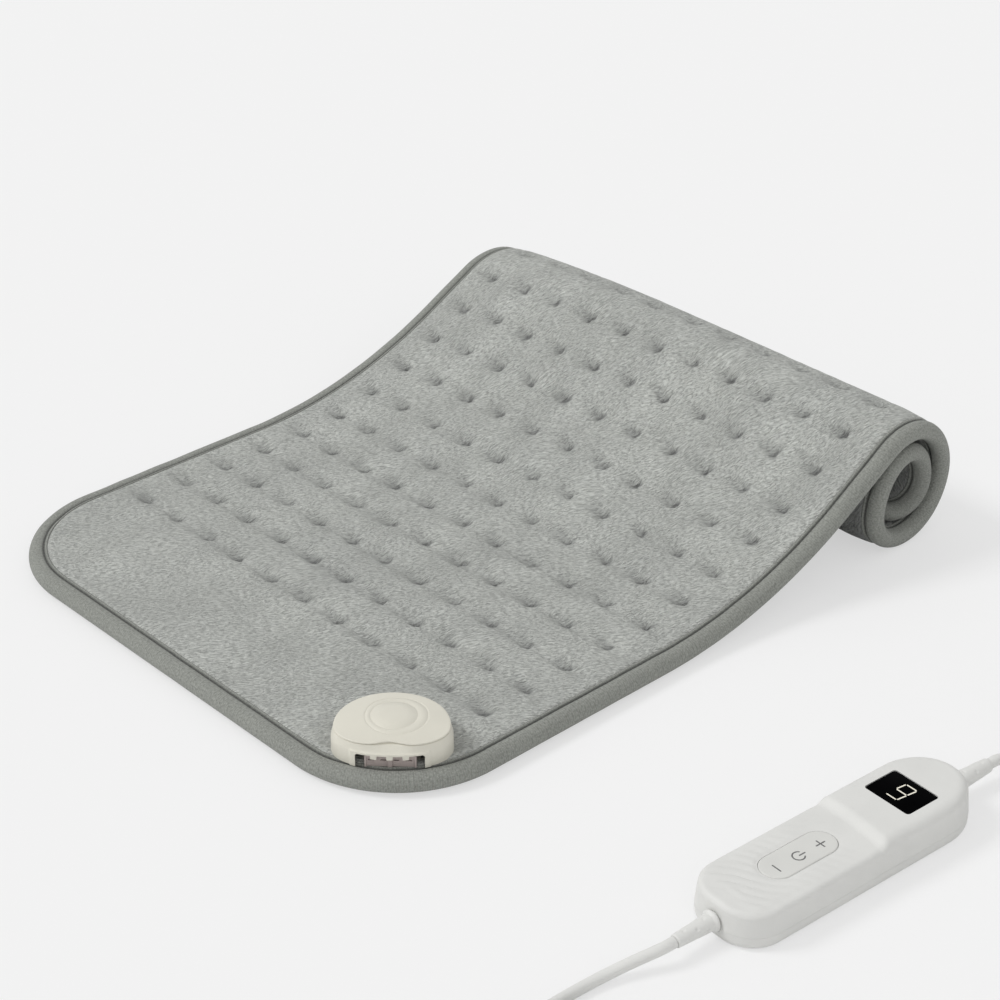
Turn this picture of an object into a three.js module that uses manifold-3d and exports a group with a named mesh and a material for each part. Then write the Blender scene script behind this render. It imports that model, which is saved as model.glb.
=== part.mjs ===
// A quilted heating pad, partly rolled up, with its socket, hand controller, leads and mains plug.
// Millimetres, +Z up. The pad's near right corner is the working origin: X runs along its length,
// Y across it, and everything stands on Z = 0. The whole is centred over the final origin at the end.
import * as THREE from 'three';
import { mergeVertices } from 'three/addons/utils/BufferGeometryUtils.js';
import Module from 'manifold-3d';

const wasm = await Module();
wasm.setup();

// Fits
const seatGap = 0.3;
const cutOverrun = 2;

// Pad
const padLength = 585;
const padWidth = 300;
const padThickness = 10;
const padCornerRadius = 60;
const coverThickness = 2.6;
const feltThickness = 1;
const wireDiameter = 2;

// Quilting
const tuftPitch = 24.4;
const tuftColumns = 11;
const tuftRows = 14;
const firstTuftRow = 79.5;
const tuftDepth = 2.6;
const channelDepth = 0.9;
const rimWidth = 14;

// Edge binding
const bindingReach = 8.4;
const bindingThickness = 0.8;
const bindingBulge = 1.6;
const bindingSlope = 0.4;

// Ramp and roll
const rollBegins = 326.3;
const rampRadius = 224;
const rampAngle = THREE.MathUtils.degToRad(32);
const rollHeight = 67;
const rollLayerGap = 0.9;
const rollSqueeze = 4;
const squeezeEnd = 1.6 * Math.PI;
const hiddenRowPitch = 7.6;
const nearArcSteps = 5;
const farArcSteps = 7;

// Heating wire and the thermal cut-outs, which lie in the plain margin before the first tufts
const wireMargin = 32;
const returnLane = 21;
const cutOutSize = [13, 6, 3.6];
const cutOutRow = 66;
const cutOutAcrossShares = [0.36, 0.653];
const cutOutPlaces = cutOutAcrossShares.map((share) => [cutOutRow, padWidth * share]);

// Socket
const socketWidth = 51.5;
const socketFrontReach = 15;
const socketBackReach = 24.5;
const socketHeight = 13;
const socketWall = 1.8;
const socketPlace = { x: 33.4, y: 34.6 };
const openingWidth = 29;
const openingHeight = 5.8;
const baseInset = 4;
const flangeInset = 1.5;
const flangeThickness = 1.5;
const ringDiameters = [26, 19];
const ringDepth = 0.35;
const ringWidth = 0.9;
const tabWidth = 3;
const tabDrop = 1.4;
const tabSpacing = 6.7;
const contactBlockWidth = 21;
const contactBlockHeight = 5;
const contactBlockDepth = 12;
const contactCount = 4;
const contactWidth = 2.4;
const contactThickness = 0.8;
const contactSlotClearance = 0.5;
const contactDivider = 1;
const socketScrewDiameter = 2.4;
const socketScrewHead = 4.6;
const socketBoss = 6;
const sideScrewPlace = 4;
const socketShoulder = 5.5;
const socketWave = 0.5;
const socketSquareShare = 0.88;
const socketScrewShare = 0.6;
const socketPilotShare = 0.7;
const ringCentre = 4.5;

// Controller
const controllerLength = 135.5;
const controllerWidth = 40.5;
const keypadHeight = 16.5;
const displayHeight = 19.8;
const nearEndRadius = 16.5;
const farEndRadius = 20;
const farEndReach = 23.5;
const shellWall = 2;
const partingHeight = 6.5;
const edgeRounding = 2.6;
const displayRounding = 4.4;
const footRounding = 3.6;
const footShares = [[1, 0], [0.4, 0.25], [0.1, 0.7]];
const draft = 0.8;
const stepInset = 59.75;
const stepPlace = controllerLength / 2 - stepInset;
const stepRun = 6;
const controllerPlace = { x: 119.2, y: -135.2, heading: -3.6 };

// Key
const keyLength = 38;
const keyWidth = 15;
const keyInset = 44.95;
const keyPlace = keyInset - controllerLength / 2;
const keyProud = 0.3;
const keyPlate = 2.4;
const keyTravel = 0.4;
const keySymbolSpacing = 12.2;
const keyEdgeShares = [[0, 0.3], [0.3, 0.08], [1, 0]];
const plungerShare = 0.9;
const lugWallShare = 0.7;
const rockAngle = THREE.MathUtils.degToRad(1.5);
const pivotDiameter = 2;
const yokeSize = [12, 7.6, 2.9];
const lipThickness = 0.6;
const lipReach = 1.2;
const lugThickness = 1.5;
const guideThickness = 1.5;

// Display
const windowLength = 18;
const windowWidth = 23.6;
const windowInset = 32.45;
const windowPlace = controllerLength / 2 - windowInset;
const windowCorner = 1.6;
const windowThickness = 1;
const windowLedge = 1.4;
const moduleMargin = 1;

// Circuit board and what it carries
const boardEndInset = 21.75;
const boardLength = controllerLength - 2 * boardEndInset;
const boardSideInset = 4.75;
const boardWidth = controllerWidth - 2 * boardSideInset;
const boardThickness = 1.6;
const boardHeight = 4.5;
const boardPostShares = [0.42, 0.38];
const fuseInset = 4;
const capacitorShares = [0.06, 0.34];
const triacSideShare = 0.05;
const chipSideShare = -0.14;
const switchSide = 6;
const switchBody = 3.1;
const switchStem = 3.4;
const switchStemHeight = 0.7;

// Pieces under the keypad and in the controller's ends
const fuseSize = { length: 20, diameter: 5.2 };
const capacitorSize = [13, 7, 7.4];
const triacSize = [8, 3.2, 7.4];
const chipSize = [9, 6.4, 1.6];
const controllerScrewDiameter = 2.4;
const controllerScrewHead = 4.4;
const controllerBoss = 6.4;
const bossEndInset = 14.5;
const bossSideInset = 8;
const screwRecess = 2.4;
const tongueHeight = 1.6;
const tongueThickness = 0.9;
const reliefHeight = 8.2;
const nearRelief = { length: 20, collar: 9, neck: 7.2, flange: 9.4, body: 7.4, tip: 5.8 };
const farRelief = { length: 21, collar: 9, neck: 7.2, flange: 8.6, body: 8.2, tip: 6.4 };
const reliefFlange = 1.6;

// Cords
const cordDiameter = 4.8;
const coilGap = 0.5;
const coilTurnSteps = 20;
const climbShare = 0.25;
const tieWidth = 9;
const tieThickness = 0.8;

// The lead to the pad: it leaves the controller's near end and ends in the connector for the socket
const connectorCoil = { x: -45, y: -151, middleRadius: 27.6, turns: 3, layers: 2, sense: 1 };
const connectorTieAngle = 1.75 * Math.PI;
const connectorSize = { length: 32, width: 33, height: 11, chamfer: 2 };
const connectorCorners = { rear: 9, front: 2.5 };
const connectorEdgeShares = [[0, 1], [0.3, 0.3], [1, 0]];
const connectorProng = { length: 10.5, width: 2.7, clearance: 0.5 };
const connectorBlade = { reach: 7, root: 6 };
const connectorRelief = { length: 14, collar: 8, neck: 6.4, flange: 8.4, body: 7.6, tip: 5.8 };
const connectorPlace = { x: -99, y: -184 };

// The mains lead: it leaves the far end and ends in a flat two-blade plug
const mainsCoil = { x: 252, y: -175.5, middleRadius: 27.6, turns: 9, layers: 4, sense: -1 };
const mainsTieAngle = 1.25 * Math.PI;
const plugSize = { length: 52, width: 26, height: 15, tip: 6.4 };
const plugBlade = { reach: 17, root: 6, width: 6.3, thickness: 1.5, spacing: 12.7, hole: 3, holeReach: 5 };
const plugRingShares = [[0, 0], [0.35, 0.07], [0.4, 0.3], [0.5, 0.78], [0.62, 1], [0.95, 1], [1, 0.9]];
const plugSquareShare = 0.4;
const plugPlace = { x: 304, y: -172.3 };

// Materials, colours as seen in plain light
const look = (color, roughness, metalness = 0) =>
  new THREE.MeshStandardMaterial({ color, roughness, metalness });
const flannel = look('#a8aaa5', 0.95);
const tape = look('#8c8e88', 0.9);
const felt = look('#c9c9c4', 1);
const warmWhite = look('#dad4cc', 0.5);
const coolWhite = look('#d8d8d5', 0.45);
const keyWhite = look('#d6d6d2', 0.5);
const smokedPane = look('#050505', 0.15);
const boardGreen = look('#2f5b3a', 0.6);
const blackPlastic = look('#1c1c1c', 0.5);
const silicone = look('#bdb3a2', 0.6);
const filmYellow = look('#c8a43a', 0.5);
const brass = look('#b9974e', 0.35, 1);
const nickel = look('#b8b8b4', 0.3, 1);
const steel = look('#8b8d90', 0.4, 1);
const cordWhite = look('#dededb', 0.5);

const object = new THREE.Group();

function addPart(parent, name, geometry, material) {
  const mesh = new THREE.Mesh(geometry, material);
  mesh.name = name;
  parent.add(mesh);
  return mesh;
}

// Solids in and out of the boolean library
function solidOf(geometry) {
  const bare = geometry.index ? geometry.clone() : geometry;
  bare.deleteAttribute('normal');
  bare.deleteAttribute('uv');
  const merged = mergeVertices(bare, 1e-4);
  return new wasm.Manifold(new wasm.Mesh({
    numProp: 3,
    vertProperties: Float32Array.from(merged.attributes.position.array),
    triVerts: Uint32Array.from(merged.index.array),
  }));
}

function geometryOf(solid) {
  const mesh = solid.getMesh();
  const geometry = new THREE.BufferGeometry();
  const positions = new Float32Array(mesh.numVert * 3);
  for (let vertex = 0; vertex < mesh.numVert; vertex += 1) {
    for (let axis = 0; axis < 3; axis += 1) {
      positions[vertex * 3 + axis] = mesh.vertProperties[vertex * mesh.numProp + axis];
    }
  }
  geometry.setAttribute('position', new THREE.BufferAttribute(positions, 3));
  geometry.setIndex(new THREE.BufferAttribute(Uint32Array.from(mesh.triVerts), 1));
  return geometry;
}

const cut = (body, ...tools) =>
  geometryOf(tools.reduce((left, tool) => left.subtract(solidOf(tool)), solidOf(body)));
const join = (body, ...others) =>
  geometryOf(others.reduce((sum, other) => sum.add(solidOf(other)), solidOf(body)));
const common = (body, other) => geometryOf(solidOf(body).intersect(solidOf(other)));

// Simple solids, placed by the centre of their foot
function block(sizeX, sizeY, sizeZ, x, y, z) {
  return new THREE.BoxGeometry(sizeX, sizeY, sizeZ).translate(x, y, z + sizeZ / 2);
}

function post(diameter, height, x, y, z, sides = 10) {
  return new THREE.CylinderGeometry(diameter / 2, diameter / 2, height, sides)
    .rotateX(Math.PI / 2).translate(x, y, z + height / 2);
}

function rodAlongY(diameter, length, x, y, z) {
  return new THREE.CylinderGeometry(diameter / 2, diameter / 2, length, 14).translate(x, y, z);
}

// A closed solid from rings of equal count, lowest first, each ring counter-clockwise from above
function loft(rings) {
  const count = rings[0].length;
  const points = rings.flat();
  const indices = [];
  for (let level = 0; level + 1 < rings.length; level += 1) {
    for (let side = 0; side < count; side += 1) {
      const next = (side + 1) % count;
      const [a, b] = [level * count + side, level * count + next];
      indices.push(a, b, b + count, a, b + count, a + count);
    }
  }
  const top = (rings.length - 1) * count;
  for (let side = 1; side + 1 < count; side += 1) {
    indices.push(0, side + 1, side);
    indices.push(top, top + side, top + side + 1);
  }
  const geometry = new THREE.BufferGeometry().setFromPoints(points);
  geometry.setIndex(indices);
  return geometry;
}

// A tube of flat-sided section through a list of points, closed at both ends
function tube(points, diameter, sides) {
  const rings = [];
  let across = null;
  points.forEach((point, index) => {
    const ahead = points[Math.min(index + 1, points.length - 1)];
    const behind = points[Math.max(index - 1, 0)];
    const along = ahead.clone().sub(behind).normalize();
    if (!across) {
      const upright = Math.abs(along.z) > Math.SQRT1_2 ? new THREE.Vector3(1, 0, 0)
        : new THREE.Vector3(0, 0, 1);
      across = upright;
    }
    across = across.clone().addScaledVector(along, -across.dot(along)).normalize();
    const other = along.clone().cross(across);
    rings.push(Array.from({ length: sides }, (_, side) => {
      const angle = (side + 0.5) * 2 * Math.PI / sides;
      return point.clone().addScaledVector(across, Math.cos(angle) * diameter / 2)
        .addScaledVector(other, Math.sin(angle) * diameter / 2);
    }));
  });
  return loft(rings);
}

// The pad's middle line, seen from its right side: flat, up a ramp, over the crest and rolled under.
// The second turn is squeezed sideways and keeps one layer's pitch inside the first.
const rollRadius = (rollHeight - padThickness) / 2;
const rollPitch = padThickness + rollLayerGap;
const rampClimb = 2 * rollRadius - (rampRadius + rollRadius) * (1 - Math.cos(rampAngle));
const rampStraight = rampClimb / Math.sin(rampAngle);
const rampStart = rollBegins - rampRadius * rampAngle - rampStraight;
const rollCentre = {
  x: rampStart + (rampRadius + rollRadius) * Math.sin(rampAngle) + rampStraight * Math.cos(rampAngle),
  z: padThickness / 2 + rollRadius,
};

const halfTurnShare = (turn, start) =>
  THREE.MathUtils.smoothstep(turn, start * Math.PI, (start + 1) * Math.PI);

function rollPoint(turn) {
  const radius = rollRadius - rollPitch * (halfTurnShare(turn, 1) + halfTurnShare(turn, 3));
  const squeeze = rollSqueeze * THREE.MathUtils.smoothstep(turn, Math.PI, squeezeEnd);
  return new THREE.Vector2(
    rollCentre.x + (radius - squeeze) * Math.sin(turn),
    rollCentre.z + radius * Math.cos(turn),
  );
}

function middleLinePoints() {
  const arcSteps = 40;
  const points = [new THREE.Vector2(0, padThickness / 2)];
  for (let step = 0; step <= arcSteps; step += 1) {
    const angle = rampAngle * step / arcSteps;
    points.push(new THREE.Vector2(
      rampStart + rampRadius * Math.sin(angle),
      padThickness / 2 + rampRadius * (1 - Math.cos(angle)),
    ));
  }
  const rollSteps = 720;
  for (let step = 0; step <= rollSteps; step += 1) {
    points.push(rollPoint(-rampAngle + (4 * Math.PI + rampAngle) * step / rollSteps));
  }
  return points;
}

const middleLine = middleLinePoints();
const middleLengths = middleLine.reduce((lengths, point, index) => {
  lengths.push(index ? lengths[index - 1] + point.distanceTo(middleLine[index - 1]) : 0);
  return lengths;
}, []);

function onMiddleLine(length) {
  let index = 1;
  while (index + 1 < middleLine.length && middleLengths[index] < length) {
    index += 1;
  }
  const [start, end] = [middleLine[index - 1], middleLine[index]];
  const share = (length - middleLengths[index - 1]) / (middleLengths[index] - middleLengths[index - 1]);
  const along = end.clone().sub(start).normalize();
  return { point: start.clone().lerp(end, share), outward: new THREE.Vector2(-along.y, along.x) };
}

// From the flat pad (length, across, offset from the middle line) to its place in the rolled pad
function bend(length, across, offset) {
  const { point, outward } = onMiddleLine(length);
  point.addScaledVector(outward, offset);
  return new THREE.Vector3(point.x, across, point.y);
}

// Rows of the pad's meshes: the near corner's arc, the quilted rows, the hidden turns, the far corner
const rimArc = padCornerRadius - rimWidth;
const lastTuftRow = firstTuftRow + (tuftRows - 1) * tuftPitch;
const farArcStart = padLength - padCornerRadius;

function padRows() {
  const rows = [];
  for (let step = 0; step <= nearArcSteps; step += 1) {
    const angle = Math.PI / 2 * step / nearArcSteps;
    rows.push({
      length: padCornerRadius - rimArc * Math.cos(angle),
      across: padCornerRadius - rimArc * Math.sin(angle),
      outward: [-Math.cos(angle), -Math.sin(angle)],
      plain: step === nearArcSteps,
    });
  }
  for (let half = 0; half <= 2 * (tuftRows - 1); half += 1) {
    rows.push({ length: firstTuftRow + half * tuftPitch / 2, across: rimWidth, outward: [0, -1], half });
  }
  const hiddenSteps = Math.ceil((farArcStart - lastTuftRow) / hiddenRowPitch);
  for (let step = 1; step < hiddenSteps; step += 1) {
    const length = lastTuftRow + (farArcStart - lastTuftRow) * step / hiddenSteps;
    rows.push({ length, across: rimWidth, outward: [0, -1], plain: step === 1 });
  }
  for (let step = 0; step <= farArcSteps; step += 1) {
    const angle = Math.asin(step / farArcSteps);
    rows.push({
      length: farArcStart + rimArc * Math.sin(angle),
      across: padCornerRadius - rimArc * Math.cos(angle),
      outward: [Math.sin(angle), -Math.cos(angle)],
    });
  }
  return rows;
}

const rows = padRows();

// The layers without quilting need no rows on the flat stretch
const plainRows = rows.filter(({ length, half }) => !half || length + tuftPitch / 2 > rampStart);

// Between two rows the pad's layers are flat strips, and what lies inside them follows the strips
function bendInside(length, across, offset) {
  let index = 1;
  while (index + 1 < plainRows.length && plainRows[index].length < length) {
    index += 1;
  }
  const [before, after] = [plainRows[index - 1].length, plainRows[index].length];
  return bend(before, across, offset)
    .lerp(bend(after, across, offset), (length - before) / (after - before));
}

// One loop round the pad, at a distance in from its edge and an offset from its middle line
function rimLoop(inset, offset, layerRows) {
  const step = rimWidth - inset;
  const right = layerRows.map((row) => bend(
    row.length + row.outward[0] * step,
    row.across + row.outward[1] * step,
    offset,
  ));
  const left = layerRows.map((row) => bend(
    row.length + row.outward[0] * step,
    padWidth - row.across - row.outward[1] * step,
    offset,
  )).reverse();
  return [...right, ...left];
}

// The right half splits its quads along the other diagonal, so that both sides mirror each other
function stitchLoops(indices, from, to, count) {
  for (let side = 0; side < count; side += 1) {
    const next = (side + 1) % count;
    if (side < count / 2) {
      indices.push(to + side, to + next, from + side, to + next, from + next, from + side);
    } else {
      indices.push(to + side, to + next, from + next, to + side, from + next, from + side);
    }
  }
}

// Triangles between two rows of points that run across the pad, however many each has
function stitchRows(indices, near, far, points, upward) {
  let [a, b] = [0, 0];
  while (a + 1 < near.length || b + 1 < far.length) {
    const farFirst = a + 1 >= near.length
      || (b + 1 < far.length && points[far[b + 1]].y <= points[near[a + 1]].y);
    const third = farFirst ? far[b + 1] : near[a + 1];
    const triangle = [near[a], far[b], third];
    indices.push(...(upward ? triangle : triangle.reverse()));
    if (farFirst) {
      b += 1;
    } else {
      a += 1;
    }
  }
}

// A layer of the pad: its section from the top face's rim, out round the edge, to the lower face's rim.
// crest, where given, lists the across places and offset of the points inside a row.
function padLayer(section, layerRows = plainRows, crest = () => []) {
  const points = section.flatMap(([inset, offset]) => rimLoop(inset, offset, layerRows));
  const indices = [];
  const count = 2 * layerRows.length;
  for (let ring = 0; ring + 1 < section.length; ring += 1) {
    stitchLoops(indices, ring * count, (ring + 1) * count, count);
  }
  const lower = (section.length - 1) * count;
  const topRows = layerRows.map((row, index) => {
    const inner = crest(row).map(([across, offset]) => points.push(bend(row.length, across, offset)) - 1);
    return [index, ...inner, count - 1 - index];
  });
  const lowerRows = layerRows.map((_, index) => [lower + index, lower + count - 1 - index]);
  for (let row = 0; row + 1 < layerRows.length; row += 1) {
    stitchRows(indices, topRows[row], topRows[row + 1], points, true);
    stitchRows(indices, lowerRows[row], lowerRows[row + 1], points, false);
  }
  const geometry = new THREE.BufferGeometry().setFromPoints(points);
  geometry.setIndex(indices);
  return geometry;
}

// Heights of the layers, as offsets from the middle line
const padFace = padThickness / 2;
const lowerCoverTop = -padFace + coverThickness;
const wireOffset = lowerCoverTop + seatGap + wireDiameter / 2;
const feltBottom = wireOffset + wireDiameter / 2 + seatGap;
const topCoverBottom = feltBottom + feltThickness + seatGap;
const tapeFace = padFace - bindingSlope;
const tapeEdge = tapeFace - bindingSlope;
const tapedFace = tapeFace - bindingThickness - seatGap;
const tapedEdge = tapeEdge - bindingThickness - seatGap;
const foldInset = bindingBulge + seatGap;
const tapeShoulder = bindingReach + seatGap;

// Points inside a row: tufts at the crossings, shallow channels between them, none where it stays plain
function quiltRow({ half, plain }) {
  if (half === undefined && !plain) {
    return [];
  }
  const firstColumn = (padWidth - (tuftColumns - 1) * tuftPitch) / 2;
  const onTuftRow = half % 2 === 0;
  const columns = [];
  for (let step = 0; step <= 2 * (tuftColumns - 1); step += 1) {
    const onColumn = step % 2 === 0;
    const dip = onTuftRow && onColumn ? tuftDepth : onTuftRow || onColumn ? channelDepth : 0;
    columns.push([firstColumn + step * tuftPitch / 2, padFace - (plain ? channelDepth / 2 : dip)]);
  }
  return columns;
}

const topCoverSection = [
  [rimWidth, padFace - bindingSlope],
  [tapeShoulder, tapedFace],
  [foldInset, tapedEdge],
  [foldInset, topCoverBottom],
  [rimWidth, topCoverBottom],
];
const feltSection = [
  [rimWidth, feltBottom + feltThickness],
  [rimWidth, feltBottom],
];
const bottomCoverSection = [
  [rimWidth, lowerCoverTop],
  [foldInset, lowerCoverTop],
  [foldInset, -tapedEdge],
  [tapeShoulder, -tapedFace],
  [rimWidth, -padFace],
];
const bindingSection = [
  [bindingReach, tapeFace],
  [bindingBulge, tapeEdge],
  [0, 0],
  [bindingBulge, -tapeEdge],
  [bindingReach, -padFace],
  [bindingReach, bindingThickness - padFace],
  [bindingBulge, bindingThickness - tapeEdge],
  [bindingBulge, tapeEdge - bindingThickness],
  [bindingReach, tapeFace - bindingThickness],
];

function bindingTape() {
  const points = bindingSection.flatMap(([inset, offset]) => rimLoop(inset, offset, plainRows));
  const indices = [];
  const count = 2 * plainRows.length;
  const rings = bindingSection.length;
  for (let ring = 0; ring < rings; ring += 1) {
    stitchLoops(indices, ring * count, ((ring + 1) % rings) * count, count);
  }
  const geometry = new THREE.BufferGeometry().setFromPoints(points);
  geometry.setIndex(indices);
  return geometry;
}

// The socket's plan: a rounded D with a shallow front, front towards -Y before it is turned
function socketPlan(inset, height, wave = 0) {
  const sides = 24;
  return Array.from({ length: sides }, (_, side) => {
    const angle = 2 * Math.PI * side / sides;
    const reach = Math.sin(angle) < 0 ? socketFrontReach : socketBackReach;
    const bow = (value) => Math.sign(value) * Math.abs(value) ** socketSquareShare;
    const front = Math.max(0, -Math.sin(angle));
    const ripple = wave * front * Math.cos(6 * angle + Math.PI);
    return new THREE.Vector3(
      (socketWidth / 2 - inset) * bow(Math.cos(angle)),
      (reach - inset - ripple) * bow(Math.sin(angle)),
      height,
    );
  });
}

const socketSeat = padThickness + seatGap;
const socketTop = socketSeat + socketHeight;

// The dome's rings above its foot: shares of the shoulder's reach, of the height and of the front's wave
const socketDomeShares = [[0.1, 0.5, 0], [0.3, 0.78, 1], [0.62, 0.93, 1], [1, 1, 0]];

function socketDome(inset, lift) {
  const rise = socketHeight - inset;
  const shoulder = socketShoulder - inset;
  const rings = socketDomeShares.map(([inward, upward, wave]) =>
    socketPlan(inset + inward * shoulder, socketSeat + upward * rise, wave * socketWave));
  return loft([socketPlan(inset, socketSeat - lift), ...rings]);
}

const socketScrewPlaces = [
  [-socketWidth / 2 + baseInset + socketBoss, sideScrewPlace],
  [socketWidth / 2 - baseInset - socketBoss, sideScrewPlace],
  [0, socketBackReach - baseInset - socketBoss],
];

function grooveRing(diameter) {
  const outer = diameter / 2;
  const inner = outer - ringWidth;
  const floor = socketTop - ringDepth;
  const ceiling = socketTop + cutOverrun;
  const section = [[inner, floor], [outer, floor], [outer, ceiling], [inner, ceiling], [inner, floor]]
    .map(([radius, height]) => new THREE.Vector2(radius, height));
  return new THREE.LatheGeometry(section, 18).rotateX(Math.PI / 2)
    .translate(0, ringCentre, 0);
}

function socketTopShell() {
  const shell = cut(
    socketDome(0, 0),
    socketDome(socketWall, cutOverrun),
    block(
      openingWidth, socketFrontReach, openingHeight + cutOverrun,
      0, -socketFrontReach, socketSeat - cutOverrun,
    ),
    ...ringDiameters.map(grooveRing),
  );
  const ceiling = socketTop - socketWall;
  const tabs = [-1, 0, 1].map((place) => block(
    tabWidth, socketWall, socketHeight / 2, place * tabSpacing,
    -socketFrontReach + socketWall * 1.2, socketSeat + openingHeight - tabDrop,
  ));
  const bosses = socketScrewPlaces.map(([x, y]) =>
    post(socketBoss, ceiling - socketSeat + socketWall / 2, x, y, socketSeat));
  const pilots = socketScrewPlaces.map(([x, y]) => post(
    socketScrewDiameter + 2 * seatGap, socketHeight * socketPilotShare + cutOverrun,
    x, y, socketSeat - cutOverrun, 8,
  ));
  return cut(join(shell, ...tabs, ...bosses), ...pilots);
}

const blockFront = -socketFrontReach + baseInset + contactSlotClearance;
const leadRow = socketScrewPlaces[0][1] + socketBoss / 2 + wireDiameter;
const leadHoleReach = socketWidth / 2 - baseInset - socketWall / 2;
const flangeBottom = seatGap;
const baseTop = socketSeat - seatGap;
const baseFloor = flangeBottom + flangeThickness;

function socketBaseShell() {
  const flange = loft([socketPlan(flangeInset, flangeBottom), socketPlan(flangeInset, baseFloor)]);
  const wall = loft([socketPlan(baseInset, flangeBottom), socketPlan(baseInset, baseTop)]);
  const hollow = loft([
    socketPlan(baseInset + socketWall, baseFloor),
    socketPlan(baseInset + socketWall, baseTop + cutOverrun),
  ]);
  const bosses = socketScrewPlaces.map(([x, y]) =>
    post(socketBoss, baseTop - flangeBottom, x, y, flangeBottom));
  const shelf = common(
    block(
      contactBlockWidth + 2 * socketWall, contactBlockDepth, baseTop - flangeBottom,
      0, blockFront + contactBlockDepth / 2, flangeBottom,
    ),
    wall,
  );
  const bores = socketScrewPlaces.flatMap(([x, y]) => [
    post(socketScrewDiameter + 2 * seatGap, baseTop + cutOverrun, x, y, 0, 8),
    post(socketScrewHead + 2 * seatGap, flangeThickness + cutOverrun, x, y, flangeBottom - cutOverrun),
  ]);
  const leadHoles = [-1, 1].map((side) => new THREE.CylinderGeometry(
    wireDiameter / 2 + seatGap, wireDiameter / 2 + seatGap, 6 * socketWall, 8,
  ).rotateZ(Math.PI / 2).translate(side * leadHoleReach, leadRow, padFace + wireOffset));
  return cut(join(cut(join(flange, wall), hollow), ...bosses, shelf), ...bores, ...leadHoles);
}

const contactPitch = contactBlockWidth / contactCount;
const contactPlaces = Array.from(
  { length: contactCount },
  (_, index) => (index - (contactCount - 1) / 2) * contactPitch,
);
const contactHeight = socketSeat + contactBlockHeight / 2;

function contactBlock() {
  const body = block(
    contactBlockWidth, contactBlockDepth, contactBlockHeight,
    0, blockFront + contactBlockDepth / 2, socketSeat,
  );
  const slots = contactPlaces.map((x) => block(
    contactWidth + 2 * contactSlotClearance, contactBlockDepth / 2,
    contactThickness + 2 * contactSlotClearance,
    x, blockFront + contactBlockDepth / 4 - cutOverrun / 2,
    contactHeight - contactThickness / 2 - contactSlotClearance,
  ));
  const passages = contactPlaces.map((x) => block(
    contactWidth + 2 * seatGap, contactBlockDepth + cutOverrun, contactThickness + 2 * seatGap,
    x, blockFront + contactBlockDepth / 2, contactHeight - contactThickness / 2 - seatGap,
  ));
  const divider = block(
    contactDivider, contactBlockDepth / 4, contactBlockHeight + cutOverrun,
    0, blockFront, socketSeat - cutOverrun / 2,
  );
  return cut(body, ...slots, ...passages, divider);
}

const tailPlace = blockFront + contactBlockDepth + contactThickness;
const tailFoot = padFace + wireOffset - wireDiameter / 2;

function contactPin(x) {
  const blade = block(
    contactWidth, contactBlockDepth, contactThickness,
    x, tailPlace - contactBlockDepth / 2, contactHeight - contactThickness / 2,
  );
  const tail = block(contactWidth, contactThickness, contactHeight - tailFoot, x, tailPlace, tailFoot);
  return join(blade, tail);
}

function socketScrew(x, y) {
  const headHeight = flangeThickness - seatGap;
  const head = post(socketScrewHead, headHeight, x, y, flangeBottom);
  const shaft = post(
    socketScrewDiameter, socketSeat + socketHeight * socketScrewShare - flangeBottom,
    x, y, flangeBottom, 8,
  );
  const slot = block(
    socketScrewHead, socketScrewDiameter / 4, headHeight / 2, x, y, flangeBottom - headHeight / 4,
  );
  return cut(join(head, shaft), slot);
}

// Pad
const padGroup = new THREE.Group();
object.add(padGroup);

const socketTurn = -Math.PI / 4;
const toSocket = (geometry) => geometry.clone().rotateZ(socketTurn)
  .translate(socketPlace.x, socketPlace.y, 0);
const throughPad = toSocket(loft([
  socketPlan(baseInset - seatGap, -cutOverrun),
  socketPlan(baseInset - seatGap, padThickness + cutOverrun),
]));
const flangePocket = toSocket(loft([
  socketPlan(flangeInset - seatGap, -cutOverrun),
  socketPlan(flangeInset - seatGap, baseFloor + seatGap),
]));

// The pockets that the thermal cut-outs lie in
const cutOutBottom = padFace + lowerCoverTop + seatGap;
const cutOutPocket = ([x, y]) => block(
  cutOutSize[0] + 2 * seatGap, cutOutSize[1] + 2 * seatGap, cutOutSize[2] + seatGap,
  x, y, cutOutBottom,
);

addPart(
  padGroup, 'pad_top_cover',
  cut(padLayer(topCoverSection, rows, quiltRow), throughPad, ...cutOutPlaces.map(cutOutPocket)), flannel,
);
addPart(
  padGroup, 'pad_felt_carrier',
  cut(padLayer(feltSection), throughPad, ...cutOutPlaces.map(cutOutPocket)), felt,
);
addPart(padGroup, 'pad_bottom_cover', cut(padLayer(bottomCoverSection), throughPad, flangePocket), flannel);
addPart(padGroup, 'edge_binding', bindingTape(), tape);
cutOutPlaces.forEach(([x, y], index) => addPart(
  padGroup, `thermal_cutout_${index + 1}`,
  new THREE.BoxGeometry(...cutOutSize).translate(x, y, cutOutBottom + cutOutSize[2] / 2), blackPlastic,
));

// Wires, laid flat first and then bent with the pad
function bentWire(path) {
  const points = [];
  path.forEach(([length, across], index) => {
    if (index) {
      const [lastLength, lastAcross] = path[index - 1];
      const [low, high] = [Math.min(lastLength, length), Math.max(lastLength, length)];
      const crossed = plainRows.filter((row) => row.length > low + seatGap && row.length < high - seatGap);
      if (length < lastLength) {
        crossed.reverse();
      }
      crossed.forEach((row) => {
        const share = (row.length - lastLength) / (length - lastLength);
        points.push(bendInside(row.length, lastAcross + share * (across - lastAcross), wireOffset));
      });
    }
    points.push(bendInside(length, across, wireOffset));
  });
  return tube(points, wireDiameter, 4);
}

const wireLoop = tuftPitch / 2;
const firstWireRun = firstTuftRow + wireLoop;
const wireRuns = 1 + 2 * Math.floor((padLength - wireMargin - firstWireRun) / (2 * tuftPitch));

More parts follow.
